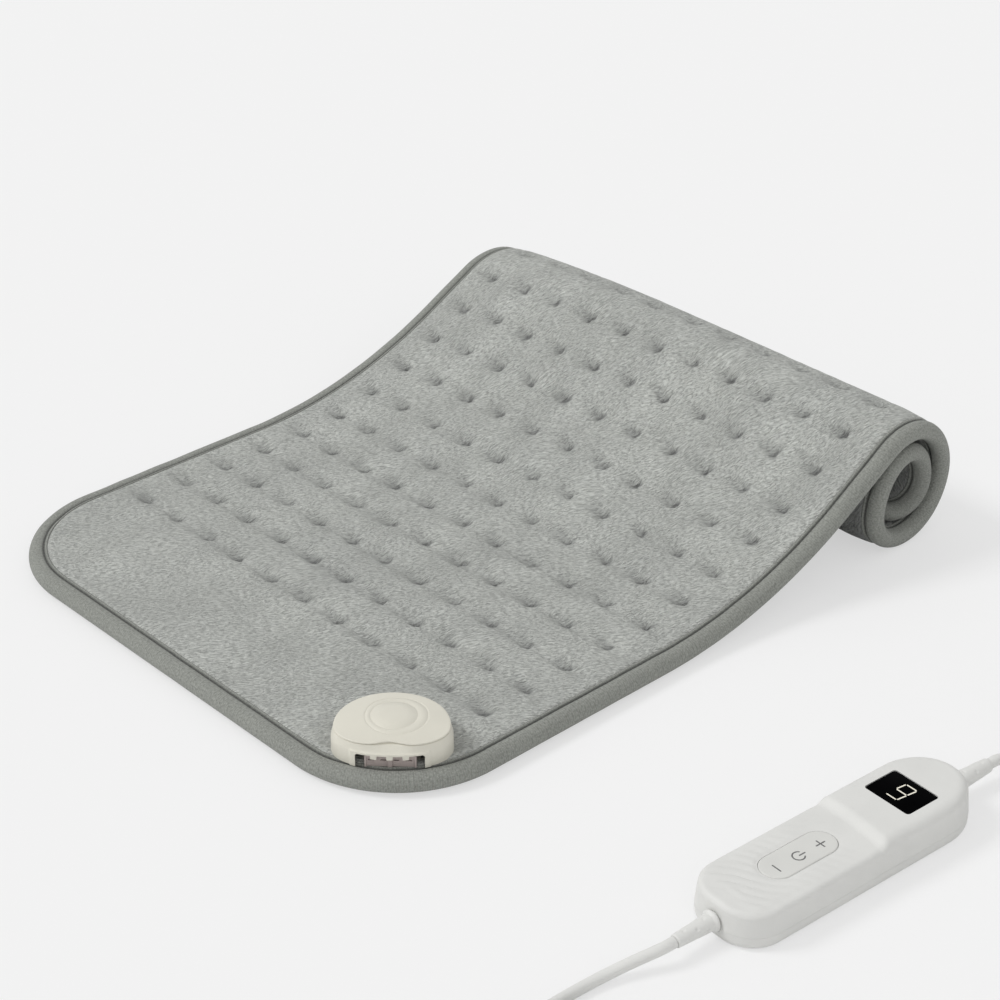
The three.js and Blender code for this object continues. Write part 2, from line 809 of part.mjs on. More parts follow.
function heatingWirePath() {
  const path = [];
  for (let run = 0; run < wireRuns; run += 1) {
    const length = firstWireRun + run * tuftPitch;
    const towardsRight = run % 2 === 0;
    const loopAcross = towardsRight ? wireMargin + wireLoop : padWidth - wireMargin - wireLoop;
    const turns = [1, 2, 3].map((step) => {
      const angle = Math.PI * step / 4;
      const bow = wireLoop * Math.sin(angle) * (towardsRight ? -1 : 1);
      return [length + wireLoop * (1 - Math.cos(angle)), loopAcross + bow];
    });
    path.push([length, padWidth - loopAcross], [length, loopAcross]);
    if (run + 1 < wireRuns) {
      path.push(...turns);
    }
  }
  return path;
}

const socketPoint = ([x, y]) => {
  const turned = new THREE.Vector2(x, y).rotateAround(new THREE.Vector2(), socketTurn);
  return [socketPlace.x + turned.x, socketPlace.y + turned.y];
};
const heatingPath = heatingWirePath();
const wireEnd = heatingPath[heatingPath.length - 1];
const [wireStartLength, wireStartAcross] = heatingPath[0];
const tailEnd = tailPlace + contactThickness / 2 + seatGap;
const leadFromPin = (side) => {
  const x = side * contactPlaces[contactCount - 1];
  return [
    [x, tailEnd], [x, leadRow], [side * leadHoleReach, leadRow],
    [side * (leadHoleReach + 3 * socketWall), leadRow],
  ].map(socketPoint);
};
const straightLead = 3 * wireDiameter;
const [firstCutOut, secondCutOut] = cutOutPlaces.map(([x, y]) => {
  const reach = cutOutSize[1] / 2 + seatGap;
  return { entry: [x, y - reach], exit: [x, y + reach], before: [x, y - reach - straightLead] };
});
const startOfWire = wireStartAcross + seatGap;

addPart(padGroup, 'heating_wire', bentWire(heatingPath), silicone);
addPart(
  padGroup, 'supply_lead_1',
  bentWire([...leadFromPin(-1), firstCutOut.before, firstCutOut.entry]), cordWhite,
);
addPart(padGroup, 'supply_lead_2', bentWire([firstCutOut.exit, secondCutOut.entry]), cordWhite);
addPart(padGroup, 'supply_lead_3', bentWire([
  secondCutOut.exit,
  [secondCutOut.exit[0], startOfWire + straightLead],
  [wireStartLength, startOfWire + straightLead],
  [wireStartLength, startOfWire],
]), cordWhite);
addPart(padGroup, 'return_lead', bentWire([
  ...leadFromPin(1),
  [firstTuftRow, returnLane],
  [wireEnd[0], returnLane],
  [wireEnd[0], wireEnd[1] - seatGap],
]), cordWhite);

// Socket
const socketGroup = new THREE.Group();
socketGroup.position.set(socketPlace.x, socketPlace.y, 0);
socketGroup.rotation.z = socketTurn;
object.add(socketGroup);
addPart(socketGroup, 'socket_top_shell', socketTopShell(), warmWhite);
addPart(socketGroup, 'socket_base_shell', socketBaseShell(), warmWhite);
addPart(socketGroup, 'socket_contact_block', contactBlock(), warmWhite);
contactPlaces.forEach((x, index) => addPart(socketGroup, `socket_pin_${index + 1}`, contactPin(x), brass));
socketScrewPlaces.forEach(([x, y], index) =>
  addPart(socketGroup, `socket_screw_${index + 1}`, socketScrew(x, y), steel));

// Controller: a rounded bar, squarer at its near end, with the display on a raised far part
const controller = new THREE.Group();
controller.position.set(controllerPlace.x, controllerPlace.y, 0);
controller.rotation.z = THREE.MathUtils.degToRad(controllerPlace.heading);
object.add(controller);
controller.updateMatrixWorld(true);

// A rounded bar's plan: each end's corners reach along the bar, and in from its sides, by their own sizes
function roundedPlan({ length, width, near, far }, inset, height) {
  const steps = 5;
  const corner = ({ reach, radius }, end, side, quarter) => Array.from(
    { length: steps + 1 },
    (_, step) => {
      const angle = (quarter + step / steps) * Math.PI / 2;
      return new THREE.Vector3(
        end * (length / 2 - reach) + (reach - inset) * Math.cos(angle),
        side * (width / 2 - radius) + (radius - inset) * Math.sin(angle),
        height,
      );
    },
  );
  return [
    ...corner(far, 1, 1, 0), ...corner(near, -1, 1, 1),
    ...corner(near, -1, -1, 2), ...corner(far, 1, -1, 3),
  ];
}

const bar = {
  length: controllerLength,
  width: controllerWidth,
  near: { reach: nearEndRadius, radius: nearEndRadius },
  far: { reach: farEndReach, radius: farEndRadius },
};
const barPlan = (inset, height) => roundedPlan(bar, inset, height);

function roundedBar(inset, foot, height, rounding) {
  const steps = 2;
  const radius = rounding - inset / 2;
  const shoulder = Array.from({ length: steps + 1 }, (_, step) => {
    const angle = Math.PI / 2 * step / steps;
    return barPlan(
      inset + draft + radius * (1 - Math.cos(angle)),
      height - radius + radius * Math.sin(angle),
    );
  });
  return loft([barPlan(inset, foot), ...shoulder]);
}

// What lies beyond the step between keypad and display, moved along X and Z for the inner wall
function beyondStep(shift) {
  const rise = displayHeight - keypadHeight;
  const steps = 5;
  const slope = Array.from({ length: steps + 1 }, (_, step) => new THREE.Vector2(
    stepPlace + shift + stepRun * step / steps,
    keypadHeight - shift + rise * THREE.MathUtils.smoothstep(step, 0, steps),
  ));
  const outline = new THREE.Shape([
    new THREE.Vector2(stepPlace + shift, -cutOverrun),
    ...slope,
    new THREE.Vector2(stepPlace + shift + stepRun, displayHeight + cutOverrun),
    new THREE.Vector2(controllerLength, displayHeight + cutOverrun),
    new THREE.Vector2(controllerLength, -cutOverrun),
  ]);
  return new THREE.ExtrudeGeometry(outline, { depth: 2 * controllerWidth, bevelEnabled: false })
    .rotateX(Math.PI / 2).translate(0, controllerWidth, 0);
}

function pillPlan(length, width, height) {
  const steps = 7;
  const half = (length - width) / 2;
  const end = (x, start) => Array.from({ length: steps + 1 }, (_, step) => {
    const angle = start + Math.PI * step / steps;
    return new THREE.Vector3(x + width / 2 * Math.cos(angle), width / 2 * Math.sin(angle), height);
  });
  return [...end(half, -Math.PI / 2), ...end(-half, Math.PI / 2)];
}

const pill = (length, width, foot, height) =>
  loft([pillPlan(length, width, foot), pillPlan(length, width, height)]).translate(keyPlace, 0, 0);

function roundedBlock(sizeX, sizeY, corner, foot, height, x) {
  const outline = new THREE.Shape();
  const [halfX, halfY] = [sizeX / 2, sizeY / 2];
  outline.moveTo(halfX, halfY - corner);
  outline.absarc(halfX - corner, halfY - corner, corner, 0, Math.PI / 2);
  outline.absarc(corner - halfX, halfY - corner, corner, Math.PI / 2, Math.PI);
  outline.absarc(corner - halfX, corner - halfY, corner, Math.PI, 3 * Math.PI / 2);
  outline.absarc(halfX - corner, corner - halfY, corner, 3 * Math.PI / 2, 2 * Math.PI);
  return new THREE.ExtrudeGeometry(outline, { depth: height - foot, bevelEnabled: false, curveSegments: 3 })
    .translate(x, 0, foot);
}

// Heights inside the controller, from the board up
const boardTop = boardHeight + boardThickness;
const onBoard = boardTop + seatGap;
const stemTop = onBoard + switchBody + switchStemHeight;
const rockReach = keySymbolSpacing * Math.sin(rockAngle);
const yokeBottom = stemTop + keyTravel + seatGap / 2;
const plungerBottom = stemTop + keyTravel + rockReach + seatGap / 2;
const keyTop = keypadHeight + keyProud;
const keyBottom = keyTop - keyPlate;
const pivotHeight = yokeBottom + yokeSize[2] / 2;
const lugPlace = yokeSize[1] / 2 + seatGap + lugThickness / 2;
const lugRadius = pivotDiameter / 2 + seatGap + lugThickness * lugWallShare;
const guideBottom = yokeBottom + lipThickness + seatGap;
const guideTop = yokeBottom + yokeSize[2];
const innerCeiling = keypadHeight - shellWall;
const windowTop = displayHeight - seatGap / 2;
const windowBottom = windowTop - windowThickness;
const bossPlaces = [1, -1].flatMap((end) => [1, -1].map((side) => [
  end * (controllerLength / 2 - bossEndInset), side * (controllerWidth / 2 - bossSideInset),
]));
const partingTop = partingHeight + seatGap;

// The strain relief turned about X, with its flange against the shell at x = 0 and its tip at +X
function strainRelief(size) {
  const wall = shellWall + draft + seatGap;
  const section = [
    [0, -wall - reliefFlange], [size.collar / 2, -wall - reliefFlange], [size.collar / 2, -wall],
    [size.neck / 2, -wall], [size.neck / 2, seatGap], [size.flange / 2, seatGap],
    [size.flange / 2, reliefFlange * 0.8], [size.body / 2, reliefFlange * 1.2],
    [size.tip / 2, size.length - seatGap], [size.tip / 2 - seatGap, size.length], [0, size.length],
  ].map(([radius, along]) => new THREE.Vector2(radius, along));
  return new THREE.LatheGeometry(section, 12).rotateZ(-Math.PI / 2);
}

// Through an end wall, the hole for a relief's neck, and behind it the room for its collar
function reliefHole(end, size, wallPlace) {
  const collarDepth = reliefFlange + 2 * draft + 2 * seatGap;
  const hole = (diameter, length, place) => new THREE.CylinderGeometry(
    diameter / 2 + seatGap, diameter / 2 + seatGap, length, 12,
  ).rotateZ(Math.PI / 2).translate(end * place, 0, reliefHeight);
  return join(
    hole(size.neck, 2 * (shellWall + cutOverrun), wallPlace),
    hole(size.collar, collarDepth, wallPlace - shellWall - seatGap - collarDepth / 2),
  );
}

const reliefHoles = [
  reliefHole(-1, nearRelief, controllerLength / 2), reliefHole(1, farRelief, controllerLength / 2),
];

function upperShell() {
  const outer = join(
    roundedBar(0, partingTop, keypadHeight, edgeRounding),
    common(roundedBar(0, partingTop, displayHeight, displayRounding), beyondStep(0)),
  );
  const inner = join(
    roundedBar(shellWall, partingTop - cutOverrun, innerCeiling, edgeRounding),
    common(
      roundedBar(
        shellWall, partingTop - cutOverrun, displayHeight - shellWall, displayRounding,
      ),
      beyondStep(shellWall),
    ),
  );
  const bosses = bossPlaces.map(([x, y]) => {
    const ceiling = (x > 0 ? displayHeight : keypadHeight) - shellWall / 2;
    return post(controllerBoss, ceiling - partingTop, x, y, partingTop);
  });
  const pilots = bossPlaces.map(([x, y]) => post(
    controllerScrewDiameter + 2 * seatGap, innerCeiling - partingTop + cutOverrun - shellWall,
    x, y, partingTop - cutOverrun, 8,
  ));
  const guideSpan = keyWidth + 4 * guideThickness;
  const guides = [-1, 1].flatMap((side) => {
    const x = keyPlace + side * (yokeSize[0] / 2 + seatGap + guideThickness / 2);
    const ears = [-1, 1].map((end) => block(
      guideThickness, 1.5 * guideThickness, innerCeiling + shellWall / 2 - guideBottom,
      x, end * (guideSpan - guideThickness) / 2, guideBottom,
    ));
    return [block(guideThickness, guideSpan, guideTop - guideBottom, x, 0, guideBottom), ...ears];
  });
  const windowSeat = roundedBlock(
    windowLength + 2 * seatGap, windowWidth + 2 * seatGap, windowCorner,
    windowBottom - seatGap, displayHeight + cutOverrun, windowPlace,
  );
  const windowThrough = roundedBlock(
    windowLength - 2 * windowLedge, windowWidth - 2 * windowLedge, windowCorner,
    innerCeiling, displayHeight + cutOverrun, windowPlace,
  );
  return cut(
    join(cut(outer, inner), ...bosses, ...guides),
    pill(keyLength + 2 * seatGap, keyWidth + 2 * seatGap, guideTop, displayHeight + cutOverrun),
    windowSeat, windowThrough, ...pilots, ...reliefHoles,
  );
}

function lowerShell() {
  const outer = loft([
    ...footShares.map(([inward, upward]) => barPlan(footRounding * inward, footRounding * upward)),
    barPlan(0, partingHeight),
  ]);
  const innerRounding = footRounding / 2;
  const inner = loft([
    barPlan(shellWall + innerRounding, shellWall), barPlan(shellWall, shellWall + innerRounding),
    barPlan(shellWall, partingHeight + cutOverrun),
  ]);
  const tongueInset = shellWall + seatGap + draft / 2;
  const straight = (inset, low, high) => loft([barPlan(inset, low), barPlan(inset, high)]);
  const tongueFoot = partingHeight - tongueHeight;
  const tongueTop = partingHeight + tongueHeight;
  const tongue = cut(
    join(
      straight(shellWall / 2, tongueFoot, partingHeight),
      straight(tongueInset, tongueFoot, tongueTop),
    ),
    straight(tongueInset + tongueThickness, tongueFoot - cutOverrun, tongueTop + cutOverrun),
    ...bossPlaces.map(([x, y]) => post(
      controllerBoss + 2 * seatGap, tongueHeight + cutOverrun, x, y, partingHeight,
    )),
  );
  const bosses = bossPlaces.map(([x, y]) =>
    post(controllerBoss, partingHeight - shellWall / 2, x, y, shellWall / 2));
  const boardPosts = [-1, 1].flatMap((end) => [-1, 1].map((side) => post(
    controllerBoss / 2, boardHeight - seatGap - shellWall / 2,
    end * boardLength * boardPostShares[0], side * boardWidth * boardPostShares[1], shellWall / 2, 8,
  )));
  const bores = bossPlaces.flatMap(([x, y]) => [
    post(controllerScrewDiameter + 2 * seatGap, partingHeight + cutOverrun, x, y, 0, 8),
    post(controllerScrewHead + 2 * seatGap, screwRecess + cutOverrun, x, y, -cutOverrun),
  ]);
  return cut(
    join(cut(outer, inner), tongue, ...bosses, ...boardPosts), ...bores, ...reliefHoles,
  );
}

function controllerScrew(x, y) {
  const headBottom = seatGap;
  const headHeight = screwRecess - 2 * seatGap;
  const length = innerCeiling - 2 * shellWall - headBottom;
  const slot = block(
    controllerScrewHead, controllerScrewDiameter / 4, headHeight / 2, x, y, headBottom - headHeight / 4,
  );
  return cut(join(
    post(controllerScrewHead, headHeight, x, y, headBottom),
    post(controllerScrewDiameter, length, x, y, headBottom, 8),
  ), slot);
}

function keyCap() {
  const cap = loft([
    pillPlan(keyLength, keyWidth, keyBottom),
    ...keyEdgeShares.map(([inward, down]) => pillPlan(
      keyLength - keyPlate * inward, keyWidth - keyPlate * inward, keyTop - keyPlate * down,
    )),
  ]).translate(keyPlace, 0, 0);
  const plungers = [-1, 1].map((side) => post(
    switchStem * plungerShare, keyBottom + keyPlate / 2 - plungerBottom,
    keyPlace + side * keySymbolSpacing, 0, plungerBottom,
  ));
  const lugs = [-1, 1].flatMap((side) => [
    block(
      2 * lugRadius, lugThickness, keyBottom + keyPlate / 2 - pivotHeight,
      keyPlace, side * lugPlace, pivotHeight,
    ),
    rodAlongY(2 * lugRadius, lugThickness, keyPlace, side * lugPlace, pivotHeight),
  ]);
  const pivotHole = rodAlongY(pivotDiameter + 2 * seatGap, keyWidth, keyPlace, 0, pivotHeight);
  return cut(join(cap, ...plungers, ...lugs), pivotHole);
}

function keyYoke() {
  const [sizeX, sizeY, sizeZ] = yokeSize;
  return join(
    block(sizeX, sizeY, sizeZ, keyPlace, 0, yokeBottom),
    block(sizeX + 2 * lipReach, sizeY, lipThickness, keyPlace, 0, yokeBottom),
    rodAlongY(pivotDiameter, 2 * lugPlace + lugThickness + seatGap, keyPlace, 0, pivotHeight),
  );
}

function tactSwitch(x) {
  return join(
    block(switchSide, switchSide, switchBody, x, 0, onBoard),
    post(switchStem, switchBody + switchStemHeight - seatGap, x, 0, onBoard + seatGap),
  );
}

addPart(controller, 'controller_upper_shell', upperShell(), coolWhite);
addPart(controller, 'controller_lower_shell', lowerShell(), coolWhite);
addPart(controller, 'display_window', roundedBlock(
  windowLength, windowWidth, windowCorner, windowBottom, windowTop, windowPlace,
), smokedPane);
const moduleTop = displayHeight - shellWall - seatGap;
addPart(controller, 'display_module', block(
  windowLength + 2 * moduleMargin, windowWidth + 2 * moduleMargin, moduleTop - onBoard,
  windowPlace, 0, onBoard,
), blackPlastic);
addPart(controller, 'circuit_board', block(
  boardLength, boardWidth, boardThickness, 0, 0, boardHeight,
), boardGreen);
addPart(controller, 'key_cap', keyCap(), keyWhite);
addPart(controller, 'key_yoke', keyYoke(), blackPlastic);
[['minus', -1], ['power', 0], ['plus', 1]].forEach(([name, place]) => addPart(
  controller, `${name}_switch`, tactSwitch(keyPlace + place * keySymbolSpacing), blackPlastic,
));
bossPlaces.forEach(([x, y], index) => addPart(
  controller, `controller_screw_${index + 1}`, controllerScrew(x, y), steel,
));
addPart(controller, 'fuse', new THREE.CylinderGeometry(
  fuseSize.diameter / 2, fuseSize.diameter / 2, fuseSize.length, 12,
).translate(fuseInset - boardLength / 2, 0, onBoard + fuseSize.diameter / 2), nickel);
const [capacitorAlongShare, capacitorAcrossShare] = capacitorShares;
addPart(controller, 'capacitor', block(
  ...capacitorSize, boardLength * capacitorAlongShare, boardWidth * capacitorAcrossShare, onBoard,
), filmYellow);
const moduleNearSide = windowPlace - windowLength / 2 - moduleMargin;
const keyFarSide = keyPlace + keySymbolSpacing + switchSide / 2;
const openBoard = (keyFarSide + moduleNearSide) / 2;
addPart(
  controller, 'triac', block(...triacSize, openBoard, boardWidth * triacSideShare, onBoard), blackPlastic,
);
addPart(
  controller, 'control_chip', block(...chipSize, openBoard, boardWidth * chipSideShare, onBoard),
  blackPlastic,
);

const nearReliefMesh = addPart(controller, 'near_strain_relief', strainRelief(nearRelief), cordWhite);
nearReliefMesh.rotation.z = Math.PI;
nearReliefMesh.position.set(-controllerLength / 2, 0, reliefHeight);
const farReliefMesh = addPart(controller, 'far_strain_relief', strainRelief(farRelief), cordWhite);
farReliefMesh.position.set(controllerLength / 2, 0, reliefHeight);

// Coils: loops that spiral in and out again in layers, and climb in the half turn where they reverse
const coilPitch = cordDiameter + coilGap;
const coilFoot = tieThickness + seatGap;

function coilPoints({ x, y, middleRadius, turns, layers, sense }) {
  const layerTurns = turns / layers;
  const outerRadius = middleRadius + coilPitch * layerTurns / 2;
  const steps = Math.round(turns * coilTurnSteps);
  const points = Array.from({ length: steps + 1 }, (_, step) => {
    const turn = turns * step / steps;
    const layer = Math.min(Math.floor(turn / layerTurns), layers - 1);
    const inLayer = turn - layer * layerTurns;
    const radius = outerRadius - coilPitch * (layer % 2 === 0 ? inLayer : layerTurns - inLayer);
    let climbed = 0;
    for (let reversal = 1; reversal < layers; reversal += 1) {
      const middle = reversal * layerTurns;
      climbed += THREE.MathUtils.smoothstep(turn, middle - climbShare, middle + climbShare);
    }
    const angle = Math.PI / 2 + sense * 2 * Math.PI * turn;
    return new THREE.Vector3(
      x + radius * Math.cos(angle),
      y + radius * Math.sin(angle),
      coilFoot + cordDiameter / 2 + coilPitch * climbed,
    );
  });
  const ahead = new THREE.Vector3(-sense * cordDiameter, 0, 0);
  points.unshift(points[0].clone().sub(ahead));
  points.push(points[points.length - 1].clone().add(ahead));
  return points;
}

// The least gap between turns, from points that lie at least half a turn apart along the cord
function leastGap(points) {
  let least = Infinity;
  points.forEach((point, index) => {
    for (let other = index + coilTurnSteps / 2; other < points.length; other += 1) {
      least = Math.min(least, point.distanceTo(points[other]));
    }
  });
  return least - cordDiameter;
}

// A free stretch of cord along a smooth curve, with the gap to what it meets left at both ends
function cordStretch(points) {
  const sides = 8;
  const stepLength = 2.5 * cordDiameter;
  const curve = new THREE.CatmullRomCurve3(points.map((point) => new THREE.Vector3(...point)));
  const section = new THREE.Shape(Array.from({ length: sides }, (_, side) => {
    const angle = 2 * Math.PI * (side + 0.5) / sides;
    return new THREE.Vector2(Math.cos(angle), Math.sin(angle)).multiplyScalar(cordDiameter / 2);
  }));
  const steps = Math.ceil(curve.getLength() / stepLength);
  return new THREE.ExtrudeGeometry(section, { steps, extrudePath: curve, curveSegments: 1 });
}

// A strap round a coil's bundle of turns, standing on the ground
function coilTie({ x, y, middleRadius, turns, layers }, angle) {
  const bow = tieWidth ** 2 / (8 * middleRadius);
  const innerWidth = coilPitch * turns / layers + cordDiameter + 2 * (seatGap + bow);
  const innerHeight = coilPitch * (layers - 1) + cordDiameter + 2 * seatGap;
  const rounded = (shape, width, height, corner) => {
    shape.moveTo(width / 2, 0);
    shape.absarc(width / 2 - corner, height / 2 - corner, corner, 0, Math.PI / 2);
    shape.absarc(corner - width / 2, height / 2 - corner, corner, Math.PI / 2, Math.PI);
    shape.absarc(corner - width / 2, corner - height / 2, corner, Math.PI, 3 * Math.PI / 2);
    shape.absarc(width / 2 - corner, corner - height / 2, corner, 3 * Math.PI / 2, 2 * Math.PI);
    return shape;
  };
  const corner = cordDiameter / 4;
  const strap = rounded(
    new THREE.Shape(), innerWidth + 2 * tieThickness, innerHeight + 2 * tieThickness,
    corner + tieThickness,
  );
  strap.holes.push(rounded(new THREE.Path(), innerWidth, innerHeight, corner));
  return new THREE.ExtrudeGeometry(strap, { depth: tieWidth, bevelEnabled: false, curveSegments: 2 })
    .translate(0, 0, -tieWidth / 2)
    .rotateX(Math.PI / 2)
    .translate(middleRadius, 0, innerHeight / 2 + tieThickness)
    .rotateZ(angle)
    .translate(x, y, 0);
}

const coilStart = ({ x, y, middleRadius, turns, layers, sense }, side) => [
  x - side * sense * (cordDiameter + seatGap),
  y + middleRadius + coilPitch * turns / layers / 2,
];

const cordGroup = new THREE.Group();
object.add(cordGroup);
const exitPoint = (local) => controller.localToWorld(new THREE.Vector3(local, 0, reliefHeight)).toArray();
const coilFloor = coilFoot + cordDiameter / 2;
const coilTop = ({ layers }) => coilFloor + coilPitch * (layers - 1);

const nearTip = -controllerLength / 2 - nearRelief.length - seatGap;
const farTip = controllerLength / 2 + farRelief.length + seatGap;
const plugTip = plugPlace.y + seatGap;
const connectorTip = connectorPlace.y + connectorSize.length / 2 + connectorRelief.length + seatGap;

const connectorLeadPoints = [
  exitPoint(nearTip), exitPoint(nearTip - cordDiameter),
  [13, -124.4, 5.2], [2, -121.2, 3.2], [-12, -119.5, 2.6], [-28, -119.4, 3.3],
  [...coilStart(connectorCoil, -1), coilFloor],
];
const connectorTailPoints = [
  [...coilStart(connectorCoil, 1), coilTop(connectorCoil)],
  [-58, -119.6, 8.6], [-75, -123.4, 7.6], [-89, -132.5, 6.6], [-97, -143, 5.6],
  [connectorPlace.x, connectorTip + cordDiameter, connectorSize.height / 2],
  [connectorPlace.x, connectorTip, connectorSize.height / 2],
];
const mainsLeadPoints = [
  exitPoint(farTip), exitPoint(farTip + cordDiameter),
  [222, -142.1, 6.2], [234, -142.2, 4.2],
  [...coilStart(mainsCoil, -1), coilFloor],
];
const mainsTailPoints = [
  [...coilStart(mainsCoil, 1), coilTop(mainsCoil)],
  [268, -142.4, 18.6], [281, -146, 14.6], [293, -152.5, 10.6], [301, -161, 8],
  [plugPlace.x, plugTip + cordDiameter, plugSize.height / 2],
  [plugPlace.x, plugTip, plugSize.height / 2],
];

addPart(cordGroup, 'connector_lead', cordStretch(connectorLeadPoints), cordWhite);
addPart(cordGroup, 'connector_lead_coil', tube(coilPoints(connectorCoil), cordDiameter, 6), cordWhite);
addPart(cordGroup, 'connector_lead_tie', coilTie(connectorCoil, connectorTieAngle), blackPlastic);
addPart(cordGroup, 'connector_lead_tail', cordStretch(connectorTailPoints), cordWhite);
addPart(cordGroup, 'mains_lead', cordStretch(mainsLeadPoints), cordWhite);
addPart(cordGroup, 'mains_lead_coil', tube(coilPoints(mainsCoil), cordDiameter, 6), cordWhite);
addPart(cordGroup, 'mains_lead_tie', coilTie(mainsCoil, mainsTieAngle), blackPlastic);
addPart(cordGroup, 'mains_lead_tail', cordStretch(mainsTailPoints), cordWhite);

// The pad lead's connector: two shells, prongs beside the socket's block, and four blades between them
const connectorMiddle = connectorSize.height / 2;
const connectorBar = {
  length: connectorSize.length,
  width: connectorSize.width,
  near: { reach: connectorCorners.rear, radius: connectorCorners.rear },
  far: { reach: connectorCorners.front, radius: connectorCorners.front },
};
function connectorHole() {
  const room = (diameter, length, place) => new THREE.CylinderGeometry(
    diameter / 2 + seatGap, diameter / 2 + seatGap, length, 12,
  ).rotateZ(Math.PI / 2).translate(place - connectorSize.length / 2, 0, connectorMiddle);
  const wall = shellWall + draft;
  const depth = reliefFlange + 3 * seatGap;
  return join(
    room(connectorRelief.neck, 2 * (wall + seatGap), 0),
    room(connectorRelief.collar, depth, wall + depth / 2),
  );
}

// One half, from the split plane to its face; side is 1 above the plane and -1 below it
function connectorShell(side) {
  const { length, width, height, chamfer } = connectorSize;
  const split = connectorMiddle + side * seatGap / 2;
  const edge = connectorEdgeShares.map(([inward, back]) => roundedPlan(
    connectorBar, chamfer * inward, connectorMiddle + side * (height / 2 - chamfer * back),
  ));
  const rings = [roundedPlan(connectorBar, 0, split), ...edge];
  const prongHeight = (openingHeight - 2 * seatGap) / 2 - seatGap / 2;
  const prongFoot = side > 0 ? split : split - prongHeight;
  const prongPlace = openingWidth / 2 - connectorProng.clearance - connectorProng.width / 2;
  const prongs = [-1, 1].map((hand) => block(
    connectorProng.length + chamfer, connectorProng.width, prongHeight,
    length / 2 + (connectorProng.length - chamfer) / 2, hand * prongPlace, prongFoot,
  ));
  const slots = contactPlaces.map((place) => block(
    connectorBlade.root + seatGap + cutOverrun, contactWidth + 2 * seatGap,
    contactThickness + 2 * seatGap,
    length / 2 + (cutOverrun - connectorBlade.root - seatGap) / 2, place,
    connectorMiddle - contactThickness / 2 - seatGap,
  ));
  return cut(join(loft(side > 0 ? rings : rings.reverse()), ...prongs), ...slots, connectorHole());
}

const connector = new THREE.Group();
connector.position.set(connectorPlace.x, connectorPlace.y, 0);
connector.rotation.z = -Math.PI / 2;
object.add(connector);
addPart(connector, 'connector_upper_shell', connectorShell(1), warmWhite);
addPart(connector, 'connector_lower_shell', connectorShell(-1), warmWhite);
contactPlaces.forEach((place, index) => addPart(connector, `connector_blade_${index + 1}`, block(
  connectorBlade.root + connectorBlade.reach, contactWidth, contactThickness,
  connectorSize.length / 2 + (connectorBlade.reach - connectorBlade.root) / 2, place,
  connectorMiddle - contactThickness / 2,
), brass));
const connectorReliefMesh = addPart(
  connector, 'connector_strain_relief', strainRelief(connectorRelief), cordWhite,
);
connectorReliefMesh.rotation.z = Math.PI;
connectorReliefMesh.position.set(-connectorSize.length / 2, 0, connectorMiddle);

// The mains plug, made standing on its cord end: a tapered relief that widens into the grip
function plugBody() {
  const sides = 16;
  const rings = plugRingShares.map(([along, widen]) => Array.from({ length: sides }, (_, side) => {
    const angle = 2 * Math.PI * side / sides;
    const bow = (value) => Math.sign(value) * Math.abs(value) ** (1 - plugSquareShare * widen);
    return new THREE.Vector3(
      THREE.MathUtils.lerp(plugSize.tip, plugSize.width, widen) / 2 * bow(Math.cos(angle)),
      THREE.MathUtils.lerp(plugSize.tip, plugSize.height, widen) / 2 * bow(Math.sin(angle)),
      along * plugSize.length,
    );
  }));
  const slots = [-1, 1].map((side) => block(
    plugBlade.thickness + 2 * seatGap, plugBlade.width + 2 * seatGap,
    plugBlade.root + seatGap + cutOverrun,
    side * plugBlade.spacing / 2, 0, plugSize.length - plugBlade.root - seatGap,
  ));
  return cut(loft(rings), ...slots);
}

function plugBladeShape(side) {
  const half = plugBlade.width / 2;
  const foot = plugSize.length - plugBlade.root;
  const tip = plugSize.length + plugBlade.reach;
  const outline = new THREE.Shape([
    new THREE.Vector2(-half, foot), new THREE.Vector2(half, foot),
    new THREE.Vector2(half, tip - half / 2), new THREE.Vector2(half / 2, tip),
    new THREE.Vector2(-half / 2, tip), new THREE.Vector2(-half, tip - half / 2),
  ]);
  const hole = new THREE.Path();
  hole.absarc(0, tip - plugBlade.holeReach, plugBlade.hole / 2, 0, 2 * Math.PI);
  outline.holes.push(hole);
  return new THREE.ExtrudeGeometry(
    outline, { depth: plugBlade.thickness, bevelEnabled: false, curveSegments: 8 },
  ).translate(0, 0, -plugBlade.thickness / 2).rotateX(Math.PI / 2).rotateZ(Math.PI / 2)
    .translate(side * plugBlade.spacing / 2, 0, 0);
}

const plug = new THREE.Group();
plug.position.set(plugPlace.x, plugPlace.y, plugSize.height / 2);
plug.rotation.x = Math.PI / 2;
object.add(plug);
addPart(plug, 'mains_plug', plugBody(), cordWhite);
addPart(plug, 'plug_blade_1', plugBladeShape(-1), nickel);
addPart(plug, 'plug_blade_2', plugBladeShape(1), nickel);

[connectorCoil, mainsCoil].forEach((coil) => {
  console.log('least gap between the turns of a coil, mm:', leastGap(coilPoints(coil)).toFixed(2));
});

// The origin: under the middle of everything but the leads, on the surface that it lies on
const leadPieces = new Set();
[cordGroup, connector, plug].forEach((group) => group.traverse((mesh) => leadPieces.add(mesh)));
object.updateMatrixWorld(true);
const extent = new THREE.Box3();
object.traverse((mesh) => {
  if (mesh.isMesh && !leadPieces.has(mesh)) {
    extent.expandByObject(mesh, true);
  }
});
const middle = extent.getCenter(new THREE.Vector3());
const origin = new THREE.Vector3(middle.x, middle.y, extent.min.z);
object.children.forEach((child) => child.position.sub(origin));

export default object;
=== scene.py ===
"""A quilted heating pad, partly rolled up, with its socket, hand controller, leads and mains plug."""

import math

import bmesh
import bpy
import numpy as np
from mathutils import Matrix, Vector, noise


